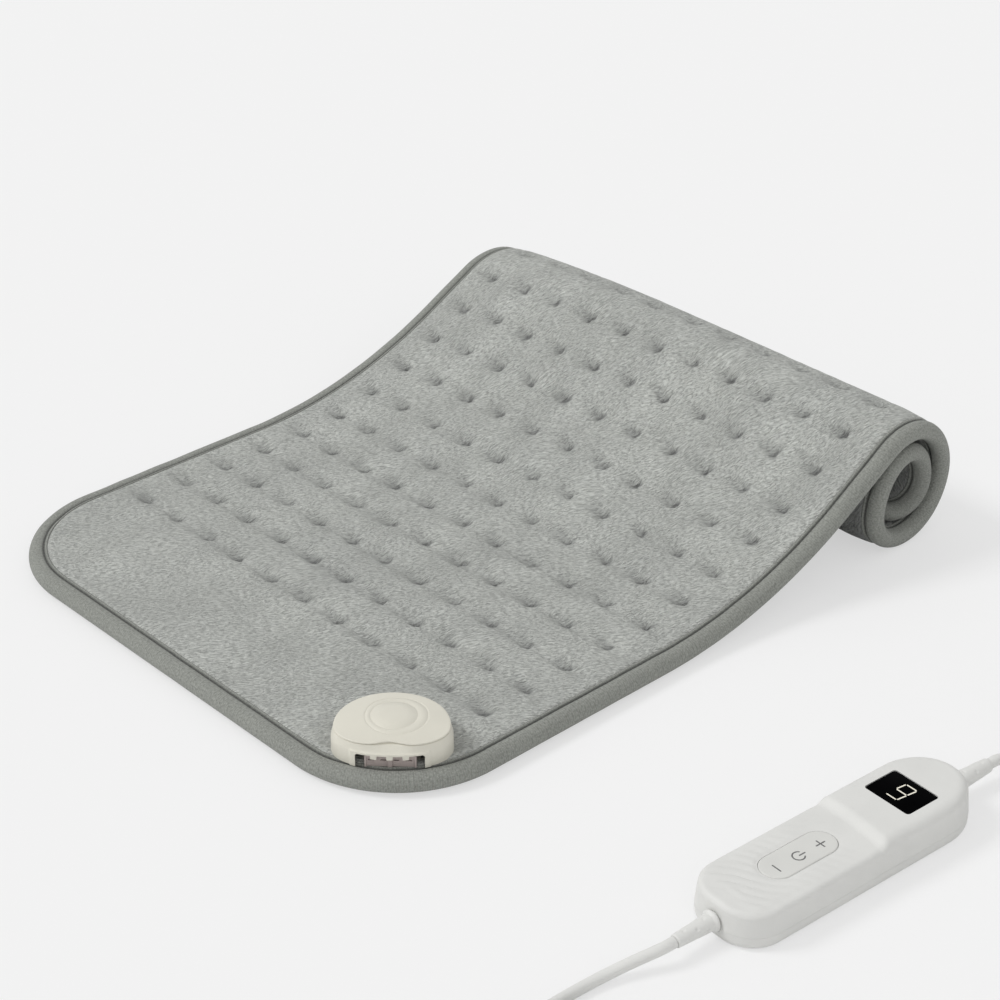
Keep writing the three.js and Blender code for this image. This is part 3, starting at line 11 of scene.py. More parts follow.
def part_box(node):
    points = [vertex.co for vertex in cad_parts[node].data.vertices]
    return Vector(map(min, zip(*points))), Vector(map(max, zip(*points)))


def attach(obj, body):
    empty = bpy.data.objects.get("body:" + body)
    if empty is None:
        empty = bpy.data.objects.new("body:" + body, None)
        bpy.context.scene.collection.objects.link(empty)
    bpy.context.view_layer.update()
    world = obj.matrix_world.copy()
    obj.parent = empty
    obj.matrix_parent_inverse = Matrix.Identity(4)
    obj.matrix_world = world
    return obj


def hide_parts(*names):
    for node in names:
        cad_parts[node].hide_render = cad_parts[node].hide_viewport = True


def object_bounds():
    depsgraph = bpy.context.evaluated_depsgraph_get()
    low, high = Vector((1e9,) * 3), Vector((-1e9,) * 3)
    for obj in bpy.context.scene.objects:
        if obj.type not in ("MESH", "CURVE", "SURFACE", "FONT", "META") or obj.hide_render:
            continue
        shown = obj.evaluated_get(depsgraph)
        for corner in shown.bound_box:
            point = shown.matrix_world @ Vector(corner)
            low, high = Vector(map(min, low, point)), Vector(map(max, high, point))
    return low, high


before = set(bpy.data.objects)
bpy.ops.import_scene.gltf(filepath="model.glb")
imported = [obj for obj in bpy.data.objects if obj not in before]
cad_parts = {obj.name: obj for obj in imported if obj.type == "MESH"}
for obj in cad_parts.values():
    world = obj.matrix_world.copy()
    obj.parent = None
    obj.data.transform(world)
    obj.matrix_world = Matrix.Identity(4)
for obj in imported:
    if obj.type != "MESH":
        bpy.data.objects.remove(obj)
cad_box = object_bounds()

# Sizes are in millimetres, in the working frame of the CAD model: the pad's near right corner on the
# ground, X along its length, Y across it. WORK is that corner in the part's frame, in metres.
MM = 0.001
WORK = np.array(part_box("edge_binding")[0])
BASE = "pad_and_controller"
GAP = 0.3
OVERRUN = 2

# Pad
PAD_LENGTH, PAD_WIDTH, PAD_THICKNESS = 585, 300, 10
CORNER_RADIUS = 60
RIM = 14
FACE = PAD_THICKNESS / 2

# Quilting: each tuft is a dent with a long tail to its left and a crease at its stitch, and each row of
# tufts lies in a shallow channel with a seam in it. For each, one number says how much the nap's colour
# is darkened there, partly as nap that lies flat and partly as painted shade, and "back" says how deep
# the same form is on the back. Noises are given by their height and their size.
TUFT_PITCH = 24.4
TUFT_ROWS, TUFT_COLUMNS = 14, 11
FIRST_ROW = 79.5
FIRST_COLUMN = (PAD_WIDTH - (TUFT_COLUMNS - 1) * TUFT_PITCH) / 2
LAST_ROW = FIRST_ROW + (TUFT_ROWS - 1) * TUFT_PITCH
TUFT_JITTER, TUFT_STRENGTH, TUFT_LEAN = 0.8, (0.78, 1.05), (0.1, 0.4)
DENT_TAIL_SHARE = 0.3
DENT = {"depth": 2.5, "spread": 2.7, "flare": 0.12, "tail": 9.5, "front": 2.6, "back": 0.9, "pressed_and_shade": 0.7}
CREASE = {"depth": 1.3, "width": 1.1, "length": 3.1, "shift": 1.2, "back": 0.4, "pressed_and_shade": 0.8}
CREASE_COSINE, CREASE_SINE, CREASE_FILLED_SHARE = 0.64, 0.77, 0.3
CHANNEL = {"depth": 0.8, "width": 4.4, "pressed_and_shade": 0.05}
ROW_SEAM = {"depth": 0.2, "width": 1.3}
HALO = {"depth": 0.5, "width": 5, "pressed_and_shade": 0.4}
CROWN_HEIGHT, MARGIN_BEGINS, MARGIN_ENDS = 0.7, RIM - 5, RIM + 8
FADED_ROWS, FADED_SHARE = (3, TUFT_ROWS - 6), 0.72
NAP_ALONG, NAP_ACROSS = (0.9, 2.6), (1.5, 3.1)
WANDER, PUCKER = (0.3, 60), (0.16, 7)
UNEVEN_SHARE, BACK_PRESSED_AND_SHADE_SHARE = 0.3, 0.6

# Ramp and roll
RAMP_RADIUS, RAMP_ANGLE = 224, math.radians(32)
ROLL_BEGINS = 326.3
ROLL_HEIGHT, ROLL_LAYER_GAP, ROLL_SQUEEZE = 67, 0.9, 4
ROLL_RADIUS = (ROLL_HEIGHT - PAD_THICKNESS) / 2
RAMP_CLIMB = 2 * ROLL_RADIUS - (RAMP_RADIUS + ROLL_RADIUS) * (1 - math.cos(RAMP_ANGLE))
RAMP_STRAIGHT = RAMP_CLIMB / math.sin(RAMP_ANGLE)
RAMP_START = ROLL_BEGINS - RAMP_RADIUS * RAMP_ANGLE - RAMP_STRAIGHT
SQUEEZE_END = 1.6 * math.pi
CREST_DROP = 7.5
CREST_DROP_START = 120
ROLL_SETTLE, ROLL_NARROWING = 1.8, 1.6
ROLLED_IN = ROLL_BEGINS + math.pi * ROLL_RADIUS
# How dark the nap and the tape are made inside the roll: painted shade where little light reaches
ROLLED_NAP_SHADE, ROLLED_TAPE_SHADE = 0.9, 0.3
STITCH = {"inset": 8.15, "height": 3.9, "pitch": 3, "radius": 0.24, "bow": 0.22}
TAPE_SWELL, TAPE_SWELL_SIZE = 0.05, 14
TAPE_ROLL = {"inset": 5.6, "reach": 4.7, "top": 4.75, "bottom": 4.4}

# Socket
SOCKET = {"x": 33.4, "y": 34.6, "heading": -45}
SOCKET_WIDTH, SOCKET_FRONT, SOCKET_BACK = 51.5, 15, 24.5
SOCKET_SEAT = PAD_THICKNESS + GAP
SOCKET_HEIGHT, SOCKET_WALL = 13, 1.8
SOCKET_SQUARE_SHARE = 0.88
# Wall, ring by ring: inset, height, depth of the hollow in the front and share of the raised frame
SOCKET_SIDE = [
    (0, -0.6, 0, 1), (0.1, 3.5, 0, 1), (0.2, 6.6, 0, 1), (0.3, 6.9, 0.1, 0.4), (0.45, 7.3, 0.3, 0),
    (0.95, 9.5, 1.7, 0), (1.2, 10.05, 2.1, 0), (1.7, 10.2, 2.4, 0),
]
# Plate on top, ring by ring: inset, fall below the crowned top and depth of the hollow in the front
SOCKET_PLATE = [
    (1.75, 0.75, 2.4), (1.3, 0.7, 2.4), (1.2, 0.6, 2.4), (1.22, 0.25, 2.4), (1.35, 0.08, 2.4),
    (1.6, 0, 2.4), (2.4, 0, 2.3), (3.6, 0, 2.0),
]
SOCKET_CROWN = 1.9
FRAME_HALF, FRAME_PROUD, FRAME_BLEND = 16.9, 0.7, 0.4
HOLLOW_WIDTH, HOLLOW_SWELL_SHARE = 7, 0.3
RINGS = ((27.2, 1.6), (20.6, 0.6))
RING_CENTRE, RING_DEPTH, RING_WIDTH = 5, 0.22, 0.8
# Across a ring's groove: inset as a share of its width, and depth as a share of its depth
RING_SHARES = ((-0.12, 0), (0.12, 0.7), (0.45, 1), (0.78, 0.7), (1.02, 0))
OPENING_WIDTH, OPENING_HEIGHT, OPENING_CHAMFER = 29, 5.8, 0.8
TAB_WIDTH, TAB_DROP, TAB_SPACING, TAB_TAPER = 2.8, 1.7, 6.7, 0.15
BLOCK = {
    "left": -10.6, "right": 11, "front": -13.9, "back": -4.7, "height": 5.1, "foot": 0.6, "rib": 1.9,
    "recess": 0.6, "lip": 0.8,
}
SLOT_WIDTH, SLOT_HEIGHT, SLOT_PITCH = 2.6, 0.6, 5.25

# Controller
CONTROLLER = {"x": 119.2, "y": -135.2, "heading": -3.6}
BAR = {"length": 135.5, "width": 40.5, "near": (16.5, 16.5), "far": (23.5, 20)}
KEYPAD_HEIGHT, DISPLAY_HEIGHT = 17, 19.7
EDGE_ROUNDING, DISPLAY_ROUNDING, FOOT_ROUNDING = 2.6, 4.4, 3.6
DRAFT, SHELL_WALL = 0.8, 2
TOP_GRID_INSET = 8.5
PARTING = 6.5
STEP_PLACE, STEP_RUN, STEP_SLANT, STEP_BOW = 5.8, 5.6, 0.06, 6
SEAM, KEY_GAP = 0.08, 0.14
KEY = {"x": -22.8, "length": 38, "width": 15, "proud": 0.3, "plate": 2.4, "spacing": 12.2}
PANE = {"x": 35.3, "length": 18, "width": 23.6, "corner": 1.6, "thickness": 1, "ledge": 1.4}
# The pane's edge, ring by ring: inset, and fall as a share of its thickness
PANE_EDGE = ((0.15, 1), (0, 0.85), (0, 0.2), (0.06, 0.06), (0.2, 0))
# Wavy ribs on the keypad, at a slant, and the distances over which they fade: from the long sides, the
# near end, the key and the step, and along the whole keypad
RIB = {"pitch": 4.3, "height": 0.5, "cosine": 0.82, "sine": 0.57, "wave": 0.9, "wave_run": 4.5}
RIB_FADES = {"side": (3.4, 6.5), "end": (5, 11), "key": (0.6, 2), "step": (-8, -2), "keypad": (-46, 4)}
RIB_FADED_SHARE, RIB_SHARPNESS = 0.75, 0.7
RELIEF_HEIGHT = 8.2
NEAR_RELIEF = {"length": 20, "collar": 9, "neck": 7.2, "flange": 9.4, "body": 7.4, "tip": 5.8}
FAR_RELIEF = {"length": 21, "collar": 9, "neck": 7.2, "flange": 8.6, "body": 8.2, "tip": 6.4}
# A relief's flange, and its notches: how deep, how far round and along each reaches from its middle, and
# the shares of the body at which the first and the last row lie
FLANGE_THICKNESS = 1.6
NOTCH = {"depth": 0.4, "turn": 0.2, "along": 0.6, "first": 0.2, "last": 0.8}
BOSS_END_INSET, BOSS_SIDE_INSET, SCREW_BORE = 14.5, 8, 5

# Cords
CORD_DIAMETER, COIL_PITCH = 4.8, 5.3
COIL_FLOOR = 0.8 + GAP + CORD_DIAMETER / 2
CLIMB_SHARE = 0.25
TIE_WIDTH, TIE_THICKNESS = 9, 0.8
CONNECTOR_COIL = {"x": -45, "y": -151, "radius": 27.6, "turns": 3, "layers": 2, "sense": 1}
MAINS_COIL = {"x": 252, "y": -175.5, "radius": 27.6, "turns": 9, "layers": 4, "sense": -1}
CONNECTOR = {"x": -99, "y": -184, "heading": -90}
CONNECTOR_BAR = {"length": 32, "width": 33, "near": (9, 9), "far": (2.5, 2.5)}
CONNECTOR_HEIGHT, CONNECTOR_ROUNDING = 11, 2
CONNECTOR_RELIEF = {"length": 14, "collar": 8, "neck": 6.4, "flange": 8.4, "body": 7.6, "tip": 5.8}
PRONG_LENGTH, PRONG_WIDTH, PRONG_CLEARANCE, PRONG_ROOT = 10.5, 2.7, 0.5, 2
PLUG = {"x": 304, "y": -172.3, "length": 52, "width": 26, "height": 15, "tip": 6.4}
PLUG_RING_SHARES = [[0, 0], [0.35, 0.07], [0.4, 0.3], [0.5, 0.78], [0.62, 1], [0.95, 1], [1, 0.9]]
PLUG_SQUARE_SHARE = 0.4
# Ribs round the plug's neck: depth, how many a plug's length would hold, and where they begin and end
PLUG_RIBS = {"depth": 0.3, "count": 17, "begins": 0.05, "ends": 0.34}


# Points and frames
def metres(points):
    return np.asarray(points, float) * MM + WORK


def turned(place, points):
    """Points of a turned frame, in the working frame."""
    points = np.asarray(points, float)
    angle = math.radians(place["heading"])
    x, y, z = points.T
    return np.column_stack((
        place["x"] + math.cos(angle) * x - math.sin(angle) * y,
        place["y"] + math.sin(angle) * x + math.cos(angle) * y,
        z,
    ))


def smoothstep(value, low, high):
    share = np.clip((np.asarray(value, float) - low) / (high - low), 0, 1)
    return share * share * (3 - 2 * share)


def between(value, low, high, first, last):
    """From the first point where the value is low to the last where it is high."""
    return (high - value) / (high - low) * first + (value - low) / (high - low) * last


def smooth_route(points, step):
    """Points about a step apart on a smooth curve through the given ones."""
    points = np.asarray(points, float)
    line = np.vstack((2 * points[0] - points[1], points, 2 * points[-1] - points[-2]))
    pieces = []
    for index in range(1, len(line) - 2):
        p0, p1, p2, p3 = line[index - 1:index + 3]
        knots = [0.0]
        for a, b in ((p0, p1), (p1, p2), (p2, p3)):
            knots.append(knots[-1] + max(np.linalg.norm(b - a), 1e-6) ** 0.5)
        t0, t1, t2, t3 = knots
        count = max(1, math.ceil(np.linalg.norm(p2 - p1) / step))
        t = np.linspace(t1, t2, count, endpoint=False)[:, None]
        middle = between(t, t1, t2, p1, p2)
        before = between(t, t0, t2, between(t, t0, t1, p0, p1), middle)
        after = between(t, t1, t3, middle, between(t, t2, t3, p2, p3))
        pieces.append(between(t, t1, t2, before, after))
    return np.vstack(pieces + [points[-1:]])


def ripple(points, size, seed):
    """Smooth noise of the given size at each point, from -1 to 1."""
    shift = Vector((seed * 17.0, seed * 5.0, seed * 3.0))
    return np.array([noise.noise(Vector(point) / size + shift) for point in points])


def round_angles(sides):
    return 2 * math.pi * np.arange(sides) / sides


def squared(values, power):
    """Cosines or sines of an oval whose corners fill out as the power falls below 1."""
    return np.sign(values) * np.abs(values) ** power


def at_height(plan, height):
    """A plan's points at one height, or each at its own."""
    return np.column_stack((plan, np.broadcast_to(height, len(plan))))


# Meshes
def in_scene(name, data):
    thing = bpy.data.objects.new(name, data)
    bpy.context.scene.collection.objects.link(thing)
    return thing


def new_piece(name, points, faces, sharp=35):
    """An object from points in the working frame, in millimetres."""
    mesh = bpy.data.meshes.new(name)
    mesh.from_pydata(metres(points).tolist(), [], [list(face) for face in faces])
    work = bmesh.new()
    work.from_mesh(mesh)
    bmesh.ops.remove_doubles(work, verts=work.verts, dist=1e-6)
    bmesh.ops.recalc_face_normals(work, faces=work.faces)
    work.to_mesh(mesh)
    work.free()
    piece = in_scene(name, mesh)
    shade(piece, sharp)
    return piece


def shade(piece, sharp):
    mesh = piece.data
    mesh.polygons.foreach_set("use_smooth", [True] * len(mesh.polygons))
    mesh.set_sharp_from_angle(angle=math.radians(sharp))


def loft_faces(levels, count, loop=False, caps=True):
    """Quads between rings of equal count, with a face over each end or round in a loop."""
    faces = []
    for level in range(levels if loop else levels - 1):
        above = (level + 1) % levels
        for side in range(count):
            after = (side + 1) % count
            faces.append((
                level * count + side, level * count + after,
                above * count + after, above * count + side,
            ))
    if caps and not loop:
        faces.append(tuple(range(count))[::-1])
        top = (levels - 1) * count
        faces.append(tuple(range(top, top + count)))
    return faces


def loft(name, rings, place=None, loop=False, caps=True, sharp=35):
    """A body through rings of equal count, in the working frame or a turned one."""
    rings = np.asarray([turned(place, ring) for ring in rings] if place else rings, float)
    levels, count = rings.shape[:2]
    return new_piece(name, rings.reshape(-1, 3), loft_faces(levels, count, loop, caps), sharp)


def prism(name, place, outline, low, high):
    """An outline of a turned frame's plan, extruded between two heights."""
    return loft(name, [at_height(outline, height) for height in (low, high)], place)


def rod(name, place, start, end, radius, sides=48):
    """A cylinder of a turned frame between two points, along any direction."""
    start, end = Vector(start), Vector(end)
    along = (end - start).normalized()
    across = along.orthogonal().normalized()
    other = along.cross(across)
    circle = [
        radius * (math.cos(angle) * across + math.sin(angle) * other) for angle in round_angles(sides)
    ]
    return loft(name, [[centre + arm for arm in circle] for centre in (start, end)], place)


def box_outline(x_low, x_high, y_low, y_high):
    return [(x_low, y_low), (x_high, y_low), (x_high, y_high), (x_low, y_high)]


def rounded_outline(length, width, corner, x=0, steps=8):
    points = []
    for quarter, (side_x, side_y) in enumerate(((1, 1), (-1, 1), (-1, -1), (1, -1))):
        for step in range(steps + 1):
            angle = (quarter + step / steps) * math.pi / 2
            points.append((
                x + side_x * (length / 2 - corner) + corner * math.cos(angle),
                side_y * (width / 2 - corner) + corner * math.sin(angle),
            ))
    return points


def grown_outline(part, grow, corner, steps=8):
    """The rounded outline of a key or a pane, grown all round."""
    return rounded_outline(part["length"] + 2 * grow, part["width"] + 2 * grow, corner, part["x"], steps)


def shape(piece, *tools, operation="DIFFERENCE", sharp=35):
    """Cuts or joins tool pieces into a piece, and removes them."""
    for tool in tools:
        modifier = piece.modifiers.new("shape", "BOOLEAN")
        modifier.solver = "EXACT"
        modifier.operation = operation
        modifier.object = tool
    graph = bpy.context.evaluated_depsgraph_get()
    mesh = bpy.data.meshes.new_from_object(piece.evaluated_get(graph))
    piece.modifiers.clear()
    piece.data = mesh
    for tool in tools:
        bpy.data.objects.remove(tool)
    shade(piece, sharp)
    return piece


def soften(piece, width):
    """A small rounding along a piece's edges."""
    modifier = piece.modifiers.new("edge", "BEVEL")
    modifier.width = width * MM
    modifier.segments = 2
    modifier.limit_method = "ANGLE"
    modifier.angle_limit = math.radians(40)
    modifier.harden_normals = False
    return piece


def dress(piece, material, slot, *nodes, body=BASE):
    """Gives a piece its finish and its body, and lets it stand for CAD nodes."""
    piece.data.materials.clear()
    piece.data.materials.append(material)
    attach(piece, body)
    if nodes:
        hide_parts(*nodes)
    return piece


# Materials
BAND_SCALE = 0.314


class Tree:
    """The shader nodes of the world or of a material."""

    def __init__(self, tree):
        self.nodes, self.links = tree.nodes, tree.links

    def feed(self, socket, value):
        """Links a socket to what another node puts out, or sets its constant."""
        if isinstance(value, bpy.types.NodeSocket):
            self.links.new(value, socket)
        elif socket.type == "RGBA":
            socket.default_value = (*value, 1)
        else:
            socket.default_value = value

    def node(self, kind, values=(), **settings):
        node = self.nodes.new("ShaderNode" + kind)
        for setting, value in settings.items():
            setattr(node, setting, value)
        for socket, value in dict(values).items():
            self.feed(node.inputs[socket], value)
        return node

    def math(self, operation, first, second):
        return self.node("Math", {0: first, 1: second}, operation=operation).outputs["Value"]

    def seen_directly(self):
        """A value of 1 on rays that show the background: straight, mirrored or through glass."""
        path = self.node("LightPath").outputs
        reflected = self.math("MAXIMUM", path["Is Camera Ray"], path["Is Glossy Ray"])
        return self.math("MAXIMUM", reflected, path["Is Transmission Ray"])


class Finish(Tree):
    """A principled material whose colour and bump are built step by step."""

    def __init__(self, name, roughness, metallic=0.0, **sockets):
        self.material = bpy.data.materials.new(name)
        self.material.use_nodes = True
        super().__init__(self.material.node_tree)
        self.shader = self.nodes["Principled BSDF"]
        self.normal = None
        for socket, value in {"Roughness": roughness, "Metallic": metallic, **sockets}.items():
            self.feed(self.shader.inputs[socket.replace("_", " ")], value)

    def place(self, layer=None, stretch=(1, 1, 1)):
        """Coordinates in metres: of the object, or of a flat layer of the mesh."""
        if layer:
            source = self.node("UVMap", uv_map=layer).outputs["UV"]
        else:
            source = self.node("TexCoord").outputs["Object"]
        return self.node("Mapping", {"Vector": source, "Scale": stretch}).outputs["Vector"]

    def noise(self, place, size, detail=3.0, roughness=0.55, distortion=0.0):
        """Smooth noise whose features are about a size, in metres, across."""
        return self.node("TexNoise", {
            "Vector": place, "Scale": 1 / size, "Detail": detail, "Roughness": roughness,
            "Distortion": distortion,
        }).outputs["Fac"]

    def wave(self, place, size, axis, distortion=0.0):
        """Bands along an axis, one in each stretch of a size in metres."""
        return self.node("TexWave", {
            "Vector": place, "Scale": BAND_SCALE / size, "Distortion": distortion,
        }, bands_direction=axis).outputs["Fac"]

    def ramp(self, value, stops):
        node = self.node("ValToRGB", {"Fac": value})
        elements = node.color_ramp.elements
        for index, (position, colour) in enumerate(stops):
            element = elements[index] if index < 2 else elements.new(position)
            element.position = position
            element.color = (*colour, 1)
        return node.outputs["Color"]

    def shades(self, value, colour, *stops):
        """A colour made lighter or darker, by a factor at each position of a value."""
        return self.ramp(value, [(position, scaled(colour, factor)) for position, factor in stops])

    def mix(self, share, first, second, blend="MIX"):
        values = {"Factor": share, 6: first, 7: second}
        return self.node("Mix", values, data_type="RGBA", blend_type=blend).outputs[2]

    def tinted(self, base, tint):
        return self.mix(1.0, base, tint, "MULTIPLY")

    def colour(self, value):
        self.feed(self.shader.inputs["Base Color"], value)

    def colour_with_painted_shade(self, base, tint):
        """A colour darkened by painted shade in dents, creases, grooves and inside the roll, and where nap
        lies flat.
        """
        dip = self.node("Attribute", attribute_name="dip").outputs["Fac"]
        self.colour(self.mix(dip, base, self.tinted(base, tint)))

    def bump(self, height, depth):
        """Adds a bump whose height from 0 to 1 stands for a depth in metres."""
        values = {"Strength": 1.0, "Distance": depth, "Height": height}
        if self.normal:
            values["Normal"] = self.normal
        self.normal = self.node("Bump", values).outputs["Normal"]
        self.feed(self.shader.inputs["Normal"], self.normal)

    def rough(self, value, low, high):
        node = self.node("MapRange", {"Value": value, "To Min": low, "To Max": high})
        self.feed(self.shader.inputs["Roughness"], node.outputs["Result"])


def linear(red, green, blue):
    """A colour as read from a picture, from 0 to 255, in the scene's linear values."""
    return tuple(
        value / 255 / 12.92 if value <= 10 else ((value / 255 + 0.055) / 1.055) ** 2.4
        for value in (red, green, blue)
    )


def scaled(colour, factor):
    return tuple(min(1.0, value * factor) for value in colour)


def plush():
    """Short flannel nap in fine crimped streaks that swirl slowly, darker where it lies flat, with painted
    shade in its dents, creases and inside the roll.
    """
    finish = Finish("plush_flannel", 0.95, Sheen_Weight=0.1, Sheen_Roughness=0.6, Specular_IOR_Level=0.1)
    flat = finish.place("flat")
    drift = finish.node("TexNoise", {"Vector": flat, "Scale": 22.0, "Detail": 1.0})
    bent = finish.node("VectorMath", {
        0: drift.outputs["Color"], 1: (0.02, 0.02, 0), 2: flat,
    }, operation="MULTIPLY_ADD")
    brushed = finish.node("Mapping", {
        "Vector": bent.outputs["Vector"], "Rotation": (0, 0, math.radians(-30)), "Scale": (2.3, 0.8, 1),
    }, vector_type="TEXTURE").outputs["Vector"]
    streaks = finish.noise(brushed, 0.00095, 3.0, 0.6, 0.6)
    clumps = finish.noise(brushed, 0.0036, 2.0, 0.5, 0.4)
    swirl = finish.noise(flat, 0.045, 1.0)
    shaded = finish.shades(streaks, linear(189, 191, 186), (0.38, 0.7), (0.5, 1.04), (0.64, 1.3))
    bunched = finish.ramp(clumps, [(0.34, (0.955, 0.955, 0.96)), (0.62, (1, 1, 1))])
    clouded = finish.ramp(swirl, [(0.3, (0.95, 0.95, 0.955)), (0.7, (1, 1, 1))])
    # The dip tint is painted shade, with the darkening of nap that lies flat
    finish.colour_with_painted_shade(finish.tinted(finish.tinted(shaded, bunched), clouded), (0.42, 0.42, 0.43))
    finish.bump(clumps, 0.0005)
    finish.bump(streaks, 0.0015)
    return finish.material


def woven_tape():
    """Flat woven binding with fine cross ribs, a mottled face, and painted shade in its stitch grooves and
    inside the roll.
    """
    finish = Finish("woven_tape", 0.9, Sheen_Weight=0.1, Sheen_Roughness=0.6, Specular_IOR_Level=0.15)
    flat = finish.place("flat")
    ribs = finish.wave(flat, 0.0011, "X", 1.2)
    threads = finish.wave(flat, 0.0007, "Y", 0.5)
    mottle = finish.noise(flat, 0.0011, 3.0, 0.7)
    cloud = finish.noise(flat, 0.02, 2.0)
    base = finish.shades(mottle, linear(150, 152, 146), (0.32, 0.72), (0.68, 1.22))
    for value, low in ((ribs, 0.95), (finish.math("MULTIPLY", ribs, threads), 0.95), (cloud, 0.92)):
        base = finish.tinted(base, finish.shades(value, (1, 1, 1), (0.15, low), (0.6, 1)))
    # The dip tint is painted shade in the stitch grooves and inside the roll
    finish.colour_with_painted_shade(base, (0.3, 0.3, 0.3))
    finish.bump(ribs, 0.0001)
    finish.bump(mottle, 0.00035)
    return finish.material


def moulded(name, colour, roughness, grain=0.00006, **sockets):
    """Moulded plastic or rubber: a fine grain, a faint change of tone and uneven gloss."""
    finish = Finish(name, roughness, **sockets)
    where = finish.place()
    finish.colour(finish.shades(finish.noise(where, 0.018, 2.0), colour, (0.3, 0.97), (0.7, 1.015)))
    finish.rough(finish.noise(where, 0.009, 3.0), roughness - 0.05, roughness + 0.07)
    finish.bump(finish.noise(where, 0.0007, 2.0), grain)
    return finish.material


def metal(name, colour, roughness, brushed=(1, 1, 1)):
    """Plated or stamped metal with drawn marks."""
    finish = Finish(name, roughness, 1.0)
    drawn = finish.noise(finish.place(stretch=brushed), 0.0012, 4.0)
    finish.colour(finish.shades(drawn, colour, (0.25, 0.86), (0.75, 1.05)))
    finish.rough(finish.noise(finish.place(), 0.004, 3.0), roughness - 0.06, roughness + 0.1)
    finish.bump(drawn, 0.00003)
    return finish.material


def fibre(name, colour, size, depth):
    """Thread or hook-and-loop tape: matted fibres."""
    finish = Finish(name, 0.95, Sheen_Weight=0.2)
    matted = finish.noise(finish.place(), size, 4.0, 0.7, 1.2)
    finish.colour(finish.shades(matted, colour, (0.3, 0.75), (0.7, 1.15)))
    finish.bump(matted, depth)
    return finish.material


def circuit_green():
    finish = Finish("board_green", 0.4)
    tracks = finish.wave(finish.place(), 0.0016, "Y", 3.0)
    finish.colour(finish.shades(tracks, linear(47, 91, 58), (0.45, 1), (0.55, 1.25)))
    finish.bump(tracks, 0.00004)
    return finish.material


def smoked_glass():
    finish = Finish("smoked_pane", 0.2, IOR=1.1, Specular_IOR_Level=0.08)
    haze = finish.noise(finish.place(), 0.008, 3.0)
    finish.colour(finish.ramp(haze, [(0.3, (0.001, 0.001, 0.0012)), (0.7, (0.002, 0.002, 0.0023))]))
    finish.rough(haze, 0.16, 0.26)
    return finish.material


def lit_segment():
    colour = linear(236, 232, 216)
    finish = Finish("lit_segment", 0.5, Emission_Strength=0.75, Emission_Color=colour)
    glow = finish.noise(finish.place(), 0.002, 1.0)
    finish.colour(finish.shades(glow, colour, (0.3, 0.24), (0.7, 0.3)))
    return finish.material


PLUSH = plush()
TAPE = woven_tape()
THREAD = fibre("stitch_thread", linear(84, 86, 82), 0.0004, 0.0001)
WARM_WHITE = moulded("warm_white_moulding", linear(220, 217, 204), 0.42)
COOL_WHITE = moulded("cool_white_moulding", linear(222, 222, 219), 0.45, Specular_IOR_Level=0.2)
# The contact block is the warm white moulding made darker and greyer: painted shade for its place in the
# socket's opening
BLOCK_SHADED_WHITE = moulded("contact_block_shaded_white", linear(176, 164, 160), 0.5)
KEY_WHITE = moulded("key_moulding", linear(216, 216, 212), 0.45)
GREY_PRINT = moulded("grey_print", linear(104, 104, 104), 0.6)
CORD_WHITE = moulded("white_jacket", linear(224, 224, 221), 0.45, grain=0.0001)
BLACK_PLASTIC = moulded("black_moulding", linear(28, 28, 28), 0.5)
HOOK_TAPE = fibre("hook_and_loop", linear(30, 30, 31), 0.0009, 0.0004)
SILICONE = moulded("silicone_jacket", linear(189, 179, 162), 0.6)
FILM_YELLOW = moulded("yellow_film", linear(200, 164, 58), 0.5)
BOARD_GREEN = circuit_green()
SMOKED_PANE = smoked_glass()
LIT_SEGMENT = lit_segment()
BRASS = metal("brass", linear(200, 165, 95), 0.3)
NICKEL = metal("nickel", linear(196, 196, 191), 0.26, (1, 0.15, 1))
STEEL = metal("screw_steel", linear(150, 152, 155), 0.35)


# Camera, lamps and floor
CAMERA = {"place": (-508.1, -615.8, 623.5), "azimuth": -42.82, "elevation": 30.31, "lens": 89.57}


def add_camera():
    azimuth, elevation = math.radians(CAMERA["azimuth"]), math.radians(CAMERA["elevation"])
    back = Vector((
        math.sin(azimuth) * math.cos(elevation), -math.cos(azimuth) * math.cos(elevation),
        math.sin(elevation),
    ))
    right = Vector((math.cos(azimuth), math.sin(azimuth), 0))
    turn = Matrix((right, back.cross(right), back)).transposed().to_4x4()
    camera = in_scene("camera", bpy.data.cameras.new("camera"))
    camera.data.sensor_width = 36
    camera.data.lens = CAMERA["lens"]
    camera.data.clip_start = 0.05
    camera.matrix_world = Matrix.Translation(Vector(metres(CAMERA["place"]))) @ turn
    bpy.context.scene.camera = camera


def add_sun(name, direction, strength, softness):
    """A lamp as far as the sun, shining from a direction."""
    lamp = bpy.data.lights.new(name, "SUN")
    lamp.energy = strength
    lamp.angle = math.radians(softness)
    sun = in_scene(name, lamp)
    sun.rotation_euler = Vector(direction).to_track_quat("Z", "Y").to_euler()


PALE = linear(242, 242, 242)
WORLD_LIGHT, FLOOR_GLOW, FLOOR_GLOW_SHARE = 0.6, 1.04, 0.6


def add_world():
    world = bpy.data.worlds.new("studio")
    bpy.context.scene.world = world
    world.use_nodes = True
    tree = Tree(world.node_tree)
    tree.nodes.clear()
    light = tree.node("Background", {"Color": (1, 1, 1), "Strength": WORLD_LIGHT})
    seen = tree.node("Background", {"Color": PALE, "Strength": 1})
    mix = tree.node("MixShader", {
        "Fac": tree.seen_directly(), 1: light.outputs["Background"], 2: seen.outputs["Background"],
    })
    tree.node("OutputWorld", {"Surface": mix.outputs["Shader"]})


